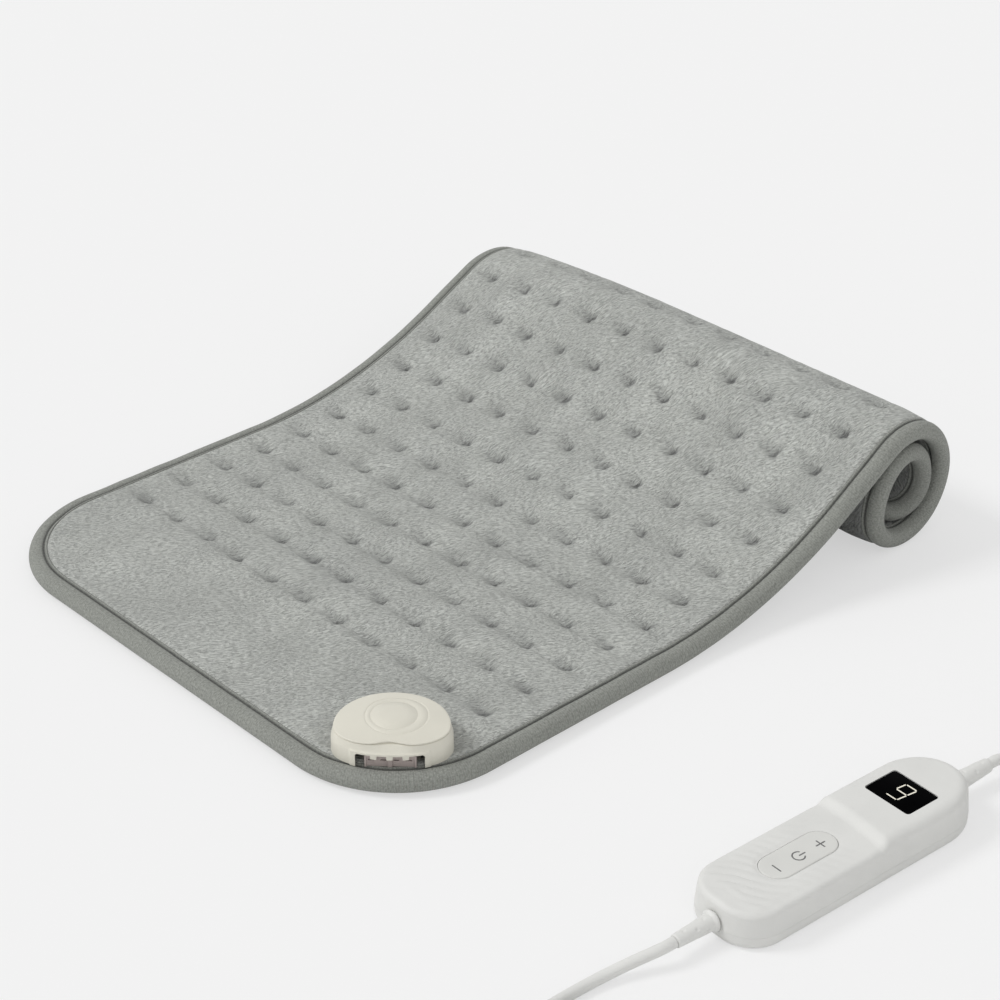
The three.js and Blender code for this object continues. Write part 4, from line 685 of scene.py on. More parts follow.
def add_floor():
    mesh = bpy.data.meshes.new("floor")
    reach = 8
    corners = [(x, y, cad_box[0].z) for x, y in box_outline(-reach, reach, -reach, reach)]
    mesh.from_pydata(corners, [], [(0, 1, 2, 3)])
    finish = Finish("pale_floor", 1.0, Specular_IOR_Level=0)
    speckle = finish.noise(finish.place(), 0.01, 2.0)
    finish.colour(finish.shades(speckle, PALE, (0.3, 0.997), (0.7, 1)))
    glow = finish.node("Emission", {"Color": PALE, "Strength": FLOOR_GLOW})
    blend = finish.node("MixShader", {
        "Fac": finish.math("MULTIPLY", finish.seen_directly(), FLOOR_GLOW_SHARE),
        1: finish.shader.outputs["BSDF"], 2: glow.outputs["Emission"],
    })
    finish.feed(finish.nodes["Material Output"].inputs["Surface"], blend.outputs["Shader"])
    mesh.materials.append(finish.material)
    in_scene("floor", mesh)


add_camera()
add_world()
add_sun("key_lamp", (-0.68, 0.68, 0.98), 1.25, 20)
add_sun("fill_lamp", (-0.5, -0.9, 0.9), 0.3, 50)
add_floor()


# Cords: the routes of the CAD model, in millimetres, with coils worked out turn by turn
def coil_points(coil, steps=24):
    per_layer = coil["turns"] / coil["layers"]
    outer = coil["radius"] + COIL_PITCH * per_layer / 2
    points = []
    for step in range(round(coil["turns"] * steps) + 1):
        turn = step / steps
        layer = min(math.floor(turn / per_layer), coil["layers"] - 1)
        inward = turn - layer * per_layer
        if layer % 2:
            inward = per_layer - inward
        reversals = (reversal * per_layer for reversal in range(1, coil["layers"]))
        climbed = sum(float(smoothstep(turn, at - CLIMB_SHARE, at + CLIMB_SHARE)) for at in reversals)
        angle = math.pi / 2 + coil["sense"] * 2 * math.pi * turn
        radius = outer - COIL_PITCH * inward
        points.append((
            coil["x"] + radius * math.cos(angle),
            coil["y"] + radius * math.sin(angle),
            COIL_FLOOR + COIL_PITCH * climbed,
        ))
    return points


def coil_end(coil, side):
    height = COIL_FLOOR if side < 0 else COIL_FLOOR + COIL_PITCH * (coil["layers"] - 1)
    return (
        coil["x"] - side * coil["sense"] * (CORD_DIAMETER + GAP),
        coil["y"] + coil["radius"] + COIL_PITCH * coil["turns"] / coil["layers"] / 2,
        height,
    )


def exit_point(along):
    return tuple(turned(CONTROLLER, [(along, 0, RELIEF_HEIGHT)])[0])


def add_cord(name, points, *nodes):
    route = metres(smooth_route(points, 2.0))
    curve = bpy.data.curves.new(name, "CURVE")
    curve.dimensions = "3D"
    curve.bevel_depth = CORD_DIAMETER / 2 * MM
    curve.bevel_resolution = 6
    curve.use_fill_caps = True
    spline = curve.splines.new("POLY")
    spline.points.add(len(route) - 1)
    spline.points.foreach_set("co", np.column_stack((route, np.ones(len(route)))).ravel())
    spline.use_smooth = True
    cord = in_scene(name, curve)
    dress(cord, CORD_WHITE, "cord_white", *nodes)
    length = float(np.linalg.norm(np.diff(route, axis=0), axis=1).sum())
    return cord, route[0], length


NEAR_TIP = -BAR["length"] / 2 - NEAR_RELIEF["length"] - GAP
FAR_TIP = BAR["length"] / 2 + FAR_RELIEF["length"] + GAP
CONNECTOR_TIP = CONNECTOR["y"] + CONNECTOR_BAR["length"] / 2 + CONNECTOR_RELIEF["length"] + GAP
PLUG_TIP = PLUG["y"] + GAP
CONNECTOR_ROUTE = [
    exit_point(NEAR_TIP), exit_point(NEAR_TIP - CORD_DIAMETER),
    (13, -124.4, 5.2), (2, -121.2, 3.2), (-12, -119.5, 2.6), (-28, -119.4, 3.3),
    coil_end(CONNECTOR_COIL, -1), *coil_points(CONNECTOR_COIL), coil_end(CONNECTOR_COIL, 1),
    (-58, -119.6, 8.6), (-75, -123.4, 7.6), (-89, -132.5, 6.6), (-97, -143, 5.6),
    (CONNECTOR["x"], CONNECTOR_TIP + CORD_DIAMETER, CONNECTOR_HEIGHT / 2),
    (CONNECTOR["x"], CONNECTOR_TIP, CONNECTOR_HEIGHT / 2),
]
MAINS_ROUTE = [
    exit_point(FAR_TIP), exit_point(FAR_TIP + CORD_DIAMETER),
    (222, -142.1, 6.2), (234, -142.2, 4.2),
    coil_end(MAINS_COIL, -1), *coil_points(MAINS_COIL), coil_end(MAINS_COIL, 1),
    (268, -142.4, 18.6), (281, -146, 14.6), (293, -152.5, 10.6), (301, -161, 8),
    (PLUG["x"], PLUG_TIP + CORD_DIAMETER, PLUG["height"] / 2),
    (PLUG["x"], PLUG_TIP, PLUG["height"] / 2),
]
connector_cord, connector_exit, connector_length = add_cord(
    "connector_cord", CONNECTOR_ROUTE, "connector_lead", "connector_lead_coil", "connector_lead_tail",
)
mains_cord, mains_exit, mains_length = add_cord(
    "mains_cord", MAINS_ROUTE, "mains_lead", "mains_lead_coil", "mains_lead_tail",
)


def add_tie(name, coil, angle, node):
    """A hook-and-loop strap round a coil's turns."""
    bow = TIE_WIDTH ** 2 / (8 * coil["radius"])
    width = COIL_PITCH * coil["turns"] / coil["layers"] + CORD_DIAMETER + 2 * (GAP + bow)
    height = COIL_PITCH * (coil["layers"] - 1) + CORD_DIAMETER + 2 * GAP
    corner = CORD_DIAMETER / 4
    place = {"x": coil["x"], "y": coil["y"], "heading": math.degrees(angle)}
    rings = []
    for grow, side in ((0, -1), (TIE_THICKNESS, -1), (TIE_THICKNESS, 1), (0, 1)):
        outline = rounded_outline(width + 2 * grow, height + 2 * grow, corner + grow, 0, 6)
        rings.append([
            (coil["radius"] + x, side * TIE_WIDTH / 2, z + height / 2 + TIE_THICKNESS) for x, z in outline
        ])
    return dress(soften(loft(name, rings, place, loop=True), 0.15), HOOK_TAPE, "black_plastic", node)


connector_tie = add_tie("connector_cord_tie", CONNECTOR_COIL, 1.75 * math.pi, "connector_lead_tie")
mains_tie = add_tie("mains_cord_tie", MAINS_COIL, 1.25 * math.pi, "mains_lead_tie")


# Pad: its middle line, seen from the right side
def middle_line():
    pitch = PAD_THICKNESS + ROLL_LAYER_GAP
    centre_x = RAMP_START + (RAMP_RADIUS + ROLL_RADIUS) * math.sin(RAMP_ANGLE)
    centre_x += RAMP_STRAIGHT * math.cos(RAMP_ANGLE)
    centre_z = FACE + ROLL_RADIUS
    flat = np.column_stack((np.linspace(0, RAMP_START, 60, endpoint=False), np.full(60, FACE)))
    angles = np.linspace(0, RAMP_ANGLE, 60)
    arc = np.column_stack((
        RAMP_START + RAMP_RADIUS * np.sin(angles), FACE + RAMP_RADIUS * (1 - np.cos(angles)),
    ))
    turns = np.linspace(-RAMP_ANGLE, 4 * math.pi, 900)
    half_turn = [smoothstep(turns, start * math.pi, (start + 1) * math.pi) for start in (1, 3)]
    radius = ROLL_RADIUS - pitch * (half_turn[0] + half_turn[1])
    squeeze = ROLL_SQUEEZE * smoothstep(turns, math.pi, SQUEEZE_END)
    roll = np.column_stack((
        centre_x + (radius - squeeze) * np.sin(turns), centre_z + radius * np.cos(turns),
    ))
    slope = np.linspace(arc[-1], roll[0], 30)[1:-1]
    return np.vstack((flat, arc, slope, roll)), centre_x


LINE, ROLL_X = middle_line()
LINE_LENGTHS = np.concatenate(([0], np.cumsum(np.linalg.norm(np.diff(LINE, axis=0), axis=1))))
LINE_ALONG = np.gradient(LINE, LINE_LENGTHS, axis=0)


def bend(length, across, offset):
    """From the flat pad to its place in the rolled pad. The crest sags towards the left side."""
    length, across, offset = np.broadcast_arrays(length, across, offset)
    x, z, along_x, along_z = (
        np.interp(length, LINE_LENGTHS, column)
        for column in (LINE[:, 0], LINE[:, 1], LINE_ALONG[:, 0], LINE_ALONG[:, 1])
    )
    size = np.hypot(along_x, along_z)
    x = x - along_z / size * offset
    z = z + along_x / size * offset
    sag = np.clip((across - CREST_DROP_START) / (PAD_WIDTH - CREST_DROP_START), 0, 1) ** 3
    settled = (CREST_DROP * sag + ROLL_SETTLE) / ROLL_HEIGHT
    z = np.maximum(z * (1 - settled * smoothstep(x, RAMP_START, ROLL_X)), 0)
    x = x - ROLL_NARROWING * smoothstep(x, ROLL_X, ROLL_X + ROLL_RADIUS + FACE)
    return np.column_stack((x, across, z))


def edge_distance(length, across):
    """How far in from the pad's outline points lie, and the outward direction there."""
    half_length, half_width = PAD_LENGTH / 2, PAD_WIDTH / 2
    beyond = np.column_stack((
        np.abs(length - half_length) - (half_length - CORNER_RADIUS),
        np.abs(across - half_width) - (half_width - CORNER_RADIUS),
    ))
    outside = np.maximum(beyond, 0)
    reach = np.linalg.norm(outside, axis=1)
    inset = CORNER_RADIUS - reach - np.minimum(beyond.max(axis=1), 0)
    safe = np.where(reach > 0, reach, 1)[:, None]
    nearest = np.column_stack((beyond[:, 0] >= beyond[:, 1], beyond[:, 0] < beyond[:, 1]))
    outward = np.where(reach[:, None] > 0, outside / safe, nearest)
    outward = outward * np.column_stack((
        np.sign(length - half_length), np.sign(across - half_width),
    ))
    return inset, outward


def quilted_lines(first, count, steps=20, crowding=0.55):
    """Grid lines over a row of tufts, closer together at each tuft."""
    turn = np.arange(-steps // 2, (count - 1) * steps + steps // 2 + 1) / steps
    return first + TUFT_PITCH * (turn - crowding * np.sin(2 * math.pi * turn) / (2 * math.pi))


def tuft_shares(length, across):
    """How deep each point lies in its tuft's dent, in the crease at its stitch and in its row's channel."""
    random = np.random.default_rng(11)
    grid = (TUFT_ROWS, TUFT_COLUMNS)
    jitter = random.uniform(-TUFT_JITTER, TUFT_JITTER, (2, *grid))
    strength = random.uniform(*TUFT_STRENGTH, grid)
    lean = random.uniform(*TUFT_LEAN, grid)
    row = np.clip(np.rint((length - FIRST_ROW) / TUFT_PITCH), 0, TUFT_ROWS - 1).astype(int)
    column = np.floor((across - FIRST_COLUMN) / TUFT_PITCH + DENT_TAIL_SHARE)
    column = np.clip(column, 0, TUFT_COLUMNS - 1).astype(int)
    drift = length - FIRST_ROW - row * TUFT_PITCH
    matted = at_height(np.column_stack((length, across)), 0)
    along = drift - jitter[0, row, column] + NAP_ALONG[0] * ripple(matted, NAP_ALONG[1], 3)
    over = across - FIRST_COLUMN - column * TUFT_PITCH - jitter[1, row, column]
    over = over + NAP_ACROSS[0] * ripple(matted, NAP_ACROSS[1], 5)
    tail = np.maximum(over, 0)
    reach = np.where(over > 0, DENT["tail"], DENT["front"])
    leaned = (along - lean[row, column] * tail) / (DENT["spread"] + DENT["flare"] * tail)
    dent = strength[row, column] * np.exp(-leaned ** 2 - (over / reach) ** 2)
    beside = (CREASE_COSINE * along + CREASE_SINE * over) / CREASE["width"]
    lengthwise = (CREASE_SINE * along - CREASE_COSINE * over - CREASE["shift"]) / CREASE["length"]
    crease = strength[row, column] * np.exp(-beside ** 2 - lengthwise ** 2)
    near = 1 - FADED_SHARE * smoothstep(length, *(FIRST_ROW + row * TUFT_PITCH for row in FADED_ROWS))
    channel, seam = (near * np.exp(-(drift / size["width"]) ** 2) for size in (CHANNEL, ROW_SEAM))
    return dent, crease, channel, seam


def socket_halo(length, across):
    """How far the nap sinks round the socket that stands on it, which also sets the painted shade at its
    foot.
    """
    angle = math.radians(-SOCKET["heading"])
    x, y = length - SOCKET["x"], across - SOCKET["y"]
    x, y = math.cos(angle) * x - math.sin(angle) * y, math.sin(angle) * x + math.cos(angle) * y
    reach = np.where(y < 0, SOCKET_FRONT, SOCKET_BACK)
    beyond = (np.hypot(2 * x / SOCKET_WIDTH, y / reach) - 1) * SOCKET_BACK
    return np.exp(-(np.maximum(beyond, 0) / HALO["width"]) ** 2) * smoothstep(y, -SOCKET_FRONT, 0)


def face_offsets(length, across, places):
    """Heights of the pad's top and back above its middle, and how far the nap is darkened, partly as nap
    that lies flat and partly as painted shade in the dents, creases, channels and round the socket.
    """
    inset, _ = edge_distance(length, across)
    dent, crease, channel, seam = tuft_shares(length, across)
    halo = socket_halo(length, across)
    wander, pucker = ripple(places, WANDER[1], 1), ripple(places, PUCKER[1], 2)
    margin = smoothstep(inset, MARGIN_BEGINS, MARGIN_ENDS)
    uneven = 1 - UNEVEN_SHARE + UNEVEN_SHARE * pucker
    dip = DENT["depth"] * dent + CREASE["depth"] * crease * (1 - CREASE_FILLED_SHARE * dent)
    dip = dip + margin * (1 - dent) * (CHANNEL["depth"] * channel + ROW_SEAM["depth"] * seam * uneven)
    crown = CROWN_HEIGHT * margin * (1 - channel) * smoothstep(length, FIRST_ROW - TUFT_PITCH, FIRST_ROW)
    # The darkening is painted shade in the dents, creases, channels and round the socket, with some real
    # darkening of nap that lies flat
    pressed_and_shade = DENT["pressed_and_shade"] * dent * uneven + CREASE["pressed_and_shade"] * crease
    pressed_and_shade = pressed_and_shade + CHANNEL["pressed_and_shade"] * channel * margin + HALO["pressed_and_shade"] * halo * uneven
    top = FACE + crown + WANDER[0] * wander + PUCKER[0] * pucker - dip - HALO["depth"] * halo
    back = -FACE + DENT["back"] * dent + CREASE["back"] * crease
    return top, back, np.clip(pressed_and_shade, 0, 1)


# The pad's edge under the binding, ring by ring from top to back: inset and height above the middle
PAD_RIM = [
    (12.4, 5.2), (11.2, 5.1), (10.3, 4.65), (9.6, 3.9), (8.4, 3.2), (6, 3.2), (3.6, 2.6),
    (3.1, 0), (3.6, -2.6), (6, -3.1), (8.4, -3.2), (9.8, -4.2), (11, -4.8),
]


def cloth_piece(name, points, faces, flats, dips_and_shade):
    """A smooth piece that tells its material each vertex's place on the flat cloth, in metres, and how much
    painted shade darkens it, with the nap's own darkening where it lies flat, from 0 to 1."""
    mesh = bpy.data.meshes.new(name)
    mesh.from_pydata(metres(points).tolist(), [], faces)
    mesh.polygons.foreach_set("use_smooth", [True] * len(mesh.polygons))
    corners = np.zeros(len(mesh.loops), np.int32)
    mesh.loops.foreach_get("vertex_index", corners)
    layer = mesh.uv_layers.new(name="flat")
    layer.data.foreach_set("uv", (flats * MM)[corners].astype(np.float32).ravel())
    # The "dip" attribute carries painted shade, with the real darkening of nap that lies flat on the pad
    attribute = mesh.attributes.new("dip", "FLOAT", "POINT")
    attribute.data.foreach_set("value", np.asarray(dips_and_shade, np.float32))
    return in_scene(name, mesh)


def pad_cells():
    """The grid of the quilted face: lengths, widths, square cells inside the rim and their open edges."""
    lines_along = np.concatenate((
        np.linspace(RIM, FIRST_ROW - TUFT_PITCH / 2, 28)[:-1],
        quilted_lines(FIRST_ROW, TUFT_ROWS),
        np.linspace(LAST_ROW + TUFT_PITCH / 2, PAD_LENGTH - RIM, 66)[1:],
    ))
    columns = quilted_lines(FIRST_COLUMN, TUFT_COLUMNS)
    columns = columns[(columns > RIM + 1) & (columns < PAD_WIDTH - RIM - 1)]
    lines_across = np.concatenate(([RIM], columns, [PAD_WIDTH - RIM]))
    rows, cols = len(lines_along), len(lines_across)
    length, across = (grid.ravel() for grid in np.meshgrid(lines_along, lines_across, indexing="ij"))
    cells = np.array([
        (row * cols + col, (row + 1) * cols + col, (row + 1) * cols + col + 1, row * cols + col + 1)
        for row in range(rows - 1) for col in range(cols - 1)
    ])
    middle_inset, _ = edge_distance(length[cells].mean(axis=1), across[cells].mean(axis=1))
    cells = cells[middle_inset > RIM]
    used = dict.fromkeys((start, end) for cell in cells for start, end in zip(cell, np.roll(cell, -1)))
    border = [(start, end) for start, end in used if (end, start) not in used]
    return length, across, cells, border


def add_pad():
    """The quilted cover, front and back, as one closed body with its rim under the binding."""
    length, across, cells, border = pad_cells()
    rim = np.array(sorted({point for edge in border for point in edge}))
    inset, outward = edge_distance(length[rim], across[rim])
    length[rim] += outward[:, 0] * (inset - RIM)
    across[rim] += outward[:, 1] * (inset - RIM)

    places = at_height(np.column_stack((length, across)), 0)
    top, back, pressed_and_shade = face_offsets(length, across, places)
    points = [bend(length, across, top), bend(length, across, back)]
    flats = [places[:, :2], places[:, :2]]
    # Painted shade on the top and the back inside the roll, joined with the nap's darkening
    shaded_top = ROLLED_NAP_SHADE * smoothstep(length, ROLLED_IN, ROLLED_IN + TUFT_PITCH)
    shaded_back = ROLLED_NAP_SHADE * smoothstep(length, ROLL_BEGINS, ROLLED_IN)
    dips_and_shade = [np.maximum(pressed_and_shade, shaded_top), np.maximum(BACK_PRESSED_AND_SHADE_SHARE * pressed_and_shade, shaded_back)]
    _, outward = edge_distance(length[rim], across[rim])
    for inward, offset in PAD_RIM:
        ring = places[rim, :2] + outward * (RIM - inward)
        points.append(bend(*ring.T, offset))
        flats.append(ring)
        dips_and_shade.append((shaded_top if offset > 0 else shaded_back)[rim])

    count = len(length)
    faces = [tuple(cell) for cell in cells] + [tuple(cell[::-1] + count) for cell in cells]
    order = {point: index for index, point in enumerate(rim)}

    def ring_vertex(point, ring):
        if ring < 0:
            return point
        if ring == len(PAD_RIM):
            return point + count
        return 2 * count + ring * len(rim) + order[point]

    for start, end in border:
        for ring in range(-1, len(PAD_RIM)):
            faces.append((
                ring_vertex(end, ring), ring_vertex(start, ring),
                ring_vertex(start, ring + 1), ring_vertex(end, ring + 1),
            ))
    points = np.vstack(points)
    kept = np.unique(np.concatenate([np.array(face) for face in faces]))
    renumber = np.full(len(points), -1)
    renumber[kept] = np.arange(len(kept))
    faces = [tuple(int(renumber[point]) for point in face) for face in faces]
    return cloth_piece("pad_cover", points[kept], faces, np.vstack(flats)[kept], np.concatenate(dips_and_shade)[kept])


def pad_outline(step=2.0):
    """Points round the pad's edge, and the outward direction at each."""
    places, outwards = [], []
    for quarter in range(4):
        centre = np.array([
            PAD_LENGTH - CORNER_RADIUS if quarter in (0, 3) else CORNER_RADIUS,
            PAD_WIDTH - CORNER_RADIUS if quarter in (0, 1) else CORNER_RADIUS,
        ])
        side = (PAD_LENGTH, PAD_WIDTH)[quarter % 2] - 2 * CORNER_RADIUS
        arc_steps, side_steps = round(CORNER_RADIUS * math.pi / 2 / step), round(side / step)
        spots = [(index / arc_steps, 0) for index in range(arc_steps)]
        spots += [(1, side * index / side_steps) for index in range(side_steps)]
        for turn, run in spots:
            angle = (quarter + turn) * math.pi / 2
            outward = np.array([math.cos(angle), math.sin(angle)])
            places.append(centre + CORNER_RADIUS * outward + run * np.array([-outward[1], outward[0]]))
            outwards.append(outward)
    return np.array(places), np.array(outwards)


def binding_section():
    """Across the tape: a rounded roll over the edge, a stitch groove and a narrow lip on each face.

    Each point has its inset, its height from the middle and how deep it lies in a groove, which
    sets the painted shade there."""
    # The third number is painted shade: darkest in the stitch groove and at the tape's inner edge
    lip = [
        (10.2, 4.15, 0.9), (10.0, 4.55, 0.5), (9.5, 4.75, 0), (8.95, 4.62, 0.1), (8.5, 4.2, 0.8),
        (8.15, 3.85, 1), (7.8, 4.0, 0.7), (7.35, 4.4, 0.1), (6.6, 4.68, 0),
    ]
    roll = []
    for step in range(25):
        angle = math.pi / 2 - math.pi * step / 24
        rise = TAPE_ROLL["top" if angle > 0 else "bottom"]
        roll.append((TAPE_ROLL["inset"] - TAPE_ROLL["reach"] * math.cos(angle), rise * math.sin(angle), 0))
    outer = lip + roll + [(inset, -offset, depth) for inset, offset, depth in reversed(lip)]
    inner = [
        (10.1, -3.8, 0), (8.2, -3.3, 0), (5.6, -3.6, 0), (3.2, -3.0, 0), (2.3, -1.7, 0), (2.1, 0, 0),
        (2.3, 1.7, 0), (3.2, 3.0, 0), (5.6, 3.7, 0), (8.2, 3.3, 0), (10.1, 3.8, 0),
    ]
    return np.array(outer + inner)


def add_binding():
    places, outwards = pad_outline()
    section = binding_section()
    run = np.linalg.norm(np.diff(places, axis=0, append=places[:1]), axis=1).cumsum()
    wrap = np.linalg.norm(np.diff(section[:, :2], axis=0, append=section[:1, :2]), axis=1).cumsum()
    swell = 1 + TAPE_SWELL * ripple(at_height(places, 0), TAPE_SWELL_SIZE, 4)
    rings, flats, dips_and_shade = [], [], []
    for (inset, offset, depth), around in zip(section, wrap):
        spots = places - outwards * inset
        limit = np.where(offset < 0, np.minimum(swell, 1.0), swell)
        rings.append(bend(spots[:, 0], spots[:, 1], np.clip(offset * limit, -FACE, None)))
        flats.append(np.column_stack((run, np.full(len(run), around))))
        # Painted shade on the tape inside the roll
        rolled = ROLLED_TAPE_SHADE * smoothstep(spots[:, 0], ROLLED_IN + TUFT_PITCH, PAD_LENGTH)
        dips_and_shade.append(np.maximum(depth, rolled))
    faces = [(a, d, c, b) for a, b, c, d in loft_faces(len(section), len(places), loop=True)]
    return cloth_piece("binding", np.vstack(rings), faces, np.vstack(flats), np.concatenate(dips_and_shade))


def add_stitches(sides=6, levels=5):
    """Lockstitches along the groove of the binding, on both faces."""
    places, outwards = pad_outline(1.0)
    places = places - outwards * STITCH["inset"]
    points, faces = [], []
    for side in (1, -1):
        for start in range(0, len(places) - STITCH["pitch"], STITCH["pitch"]):
            base = len(points)
            first, last = places[start], places[start + STITCH["pitch"] - 1]
            for share in np.linspace(0, 1, levels):
                spot = first + (last - first) * (0.08 + 0.98 * share)
                lift = STITCH["height"] + STITCH["bow"] * math.sin(math.pi * share)
                radius = STITCH["radius"] * (0.35 + 0.65 * math.sin(math.pi * (0.08 + 0.84 * share)))
                for angle in round_angles(sides):
                    place = spot + outwards[start + 1] * radius * math.cos(angle)
                    points.append((*place, side * (lift + radius * math.sin(angle))))
            faces += [tuple(base + corner for corner in face) for face in loft_faces(levels, sides)]
    return new_piece("binding_stitches", bend(*np.array(points).T), faces)


# Socket
def socket_plan(inset, height, hollow=0.0, frame_share=0.0, sides=240):
    """The socket's plan set in, with a hollow in the middle of its front and a frame round its opening."""
    angles = round_angles(sides)
    cosines, sines = np.cos(angles), np.sin(angles)
    front = sines < 0
    reach = np.where(front, SOCKET_FRONT, SOCKET_BACK)
    power = np.where(front, SOCKET_SQUARE_SHARE, 1)
    x = (SOCKET_WIDTH / 2 - inset) * squared(cosines, power)
    dent = hollow * (np.exp(-(x / HOLLOW_WIDTH) ** 2) - HOLLOW_SWELL_SHARE) * smoothstep(-sines, 0.2, 0.8)
    framed = smoothstep(FRAME_HALF - np.abs(x), -FRAME_BLEND, FRAME_BLEND)
    bulge = frame_share * FRAME_PROUD * framed * front
    y = (reach - inset - dent + bulge) * squared(sines, power)
    return np.column_stack((x, y, np.full(sides, float(height))))


def circle_ring(radius, shift, sides=240):
    angles = round_angles(sides)
    return np.column_stack((shift + radius * np.cos(angles), RING_CENTRE + radius * np.sin(angles)))


def socket_dome(wall, outside):
    """Rings from the foot to the middle of the top, set in by a wall's thickness."""
    rings = []
    for inset, height, hollow, frame_share in SOCKET_SIDE:
        level = SOCKET_SEAT + height - wall * height / SOCKET_HEIGHT
        rings.append(socket_plan(wall + inset, level, hollow, frame_share if outside else 0))

    def add_top(plan, fall=0.0):
        """A ring on the crowned top, or a fall below it."""
        away = (2 * plan[:, 0] / SOCKET_WIDTH) ** 2
        away = away + ((plan[:, 1] - RING_CENTRE) / (SOCKET_BACK - RING_CENTRE)) ** 2
        crown = SOCKET_CROWN * np.minimum(away, 1)
        rings.append(at_height(plan[:, :2], SOCKET_SEAT + SOCKET_HEIGHT - wall - crown - fall))

    for inset, fall, hollow in SOCKET_PLATE:
        add_top(socket_plan(wall + inset, 0, hollow), fall)
    last = rings[-1][:, :2]
    widest = circle_ring(RINGS[0][0] / 2 + 0.4, RINGS[0][1])
    for share in (0.25, 0.5, 0.75, 1):
        add_top(last + (widest - last) * share)
    for diameter, shift in RINGS if outside else ():
        for inward, depth in RING_SHARES:
            add_top(circle_ring(diameter / 2 - inward * RING_WIDTH, shift), depth * RING_DEPTH)
    for radius in (5, 1):
        add_top(circle_ring(radius, RINGS[1][1]))
    return rings


def add_contact_block():
    """The block that nearly fills the opening, with a middle rib and a slot for each contact."""
    left, right, front, back = (BLOCK[side] for side in ("left", "right", "front", "back"))
    block = prism(
        "contact_block", SOCKET, box_outline(left, right, front, back),
        SOCKET_SEAT - BLOCK["foot"], SOCKET_SEAT + BLOCK["height"],
    )
    rib, lip = BLOCK["rib"] / 2, BLOCK["lip"]
    middle = SOCKET_SEAT + BLOCK["height"] / 2
    tools = [
        prism(
            "recess", SOCKET, box_outline(low, high, front - OVERRUN, front + BLOCK["recess"]),
            SOCKET_SEAT - OVERRUN, SOCKET_SEAT + BLOCK["height"] - lip,
        )
        for low, high in ((left + lip, -rib), (rib, right - lip))
    ]
    for x in (place * SLOT_PITCH for place in (-1.5, -0.5, 0.5, 1.5)):
        tools.append(prism(
            "slot", SOCKET,
            box_outline(x - SLOT_WIDTH / 2, x + SLOT_WIDTH / 2, front - OVERRUN, back + OVERRUN),
            middle - SLOT_HEIGHT / 2, middle + SLOT_HEIGHT / 2,
        ))
    return soften(shape(block, *tools), 0.12)


def add_socket():
    rings = socket_dome(SOCKET_WALL, False)[::-1] + socket_dome(0, True)
    shell = loft("socket_shell", rings, SOCKET, sharp=50)
    half, chamfer = OPENING_WIDTH / 2, OPENING_CHAMFER
    top = SOCKET_SEAT + OPENING_HEIGHT
    tab = top - TAB_DROP
    foot, shoulder = SOCKET_SEAT - OVERRUN, top - chamfer
    outline = [(-half, foot), (half, foot), (half, shoulder), (half - chamfer, top)]
    for place in (1, 0, -1):
        right, left = place * TAB_SPACING + TAB_WIDTH / 2, place * TAB_SPACING - TAB_WIDTH / 2
        outline += [(right, top), (right - TAB_TAPER, tab), (left + TAB_TAPER, tab), (left, top)]
    outline += [(chamfer - half, top), (-half, shoulder)]
    rings = [[(x, depth, z) for x, z in outline] for depth in (-1.5 * SOCKET_FRONT, -SOCKET_FRONT / 2)]
    return shape(shell, loft("opening", rings, SOCKET), sharp=42)


# Controller
def bar_plan(bar, inset, sides=120, corner=36):
    """A rounded bar's plan, counter-clockwise from its far end. The inset may differ per point."""
    length, width = bar["length"], bar["width"]
    arcs = []
    for quarter, end, side, (reach, radius) in (
        (0, 1, 1, bar["far"]), (1, -1, 1, bar["near"]), (2, -1, -1, bar["near"]), (3, 1, -1, bar["far"]),
    ):
        angles = (quarter + np.arange(corner + 1) / corner) * math.pi / 2
        cosines, sines = np.cos(angles), np.sin(angles)
        arcs.append(np.column_stack((
            end * (length / 2 - reach) + reach * cosines, side * (width / 2 - radius) + radius * sines,
            cosines, sines,
        )))
    shares = (np.arange(1, sides) / sides)[:, None]
    left, right = (arcs[index][-1] * (1 - shares) + arcs[index + 1][0] * shares for index in (0, 2))
    table = np.vstack((arcs[0], left, arcs[1], arcs[2], right, arcs[3]))
    return table[:, :2] - np.reshape(inset, (-1, 1)) * table[:, 2:]


QUARTER_ROUND = [(1 - math.cos(angle), 1 - math.sin(angle)) for angle in np.linspace(0, math.pi / 2, 9)[1:]]


def to_middle(plan, shares):
    """Plans on the way from one plan to the controller's middle line."""
    end = (BAR["length"] - BAR["width"]) / 2
    middle = np.clip(plan, (-end, 0), (end, 0))
    return [plan + (middle - plan) * share for share in shares]


def step_share(plan, before=0.0, after=0.0):
    """From 0 on the keypad to 1 on the display end, across a slightly slanted and bowed step."""
    x = plan[:, 0] - STEP_SLANT * plan[:, 1] + (plan[:, 1] / BAR["width"]) ** 2 * STEP_BOW
    return smoothstep(x, STEP_PLACE - before, STEP_PLACE + STEP_RUN + after)


def top_height(plan):
    return KEYPAD_HEIGHT + (DISPLAY_HEIGHT - KEYPAD_HEIGHT) * step_share(plan)


def pill_distance(x, y):
    """Distance outside the key's outline."""
    half = (KEY["length"] - KEY["width"]) / 2
    return np.hypot(np.maximum(np.abs(x - KEY["x"]) - half, 0), y) - KEY["width"] / 2


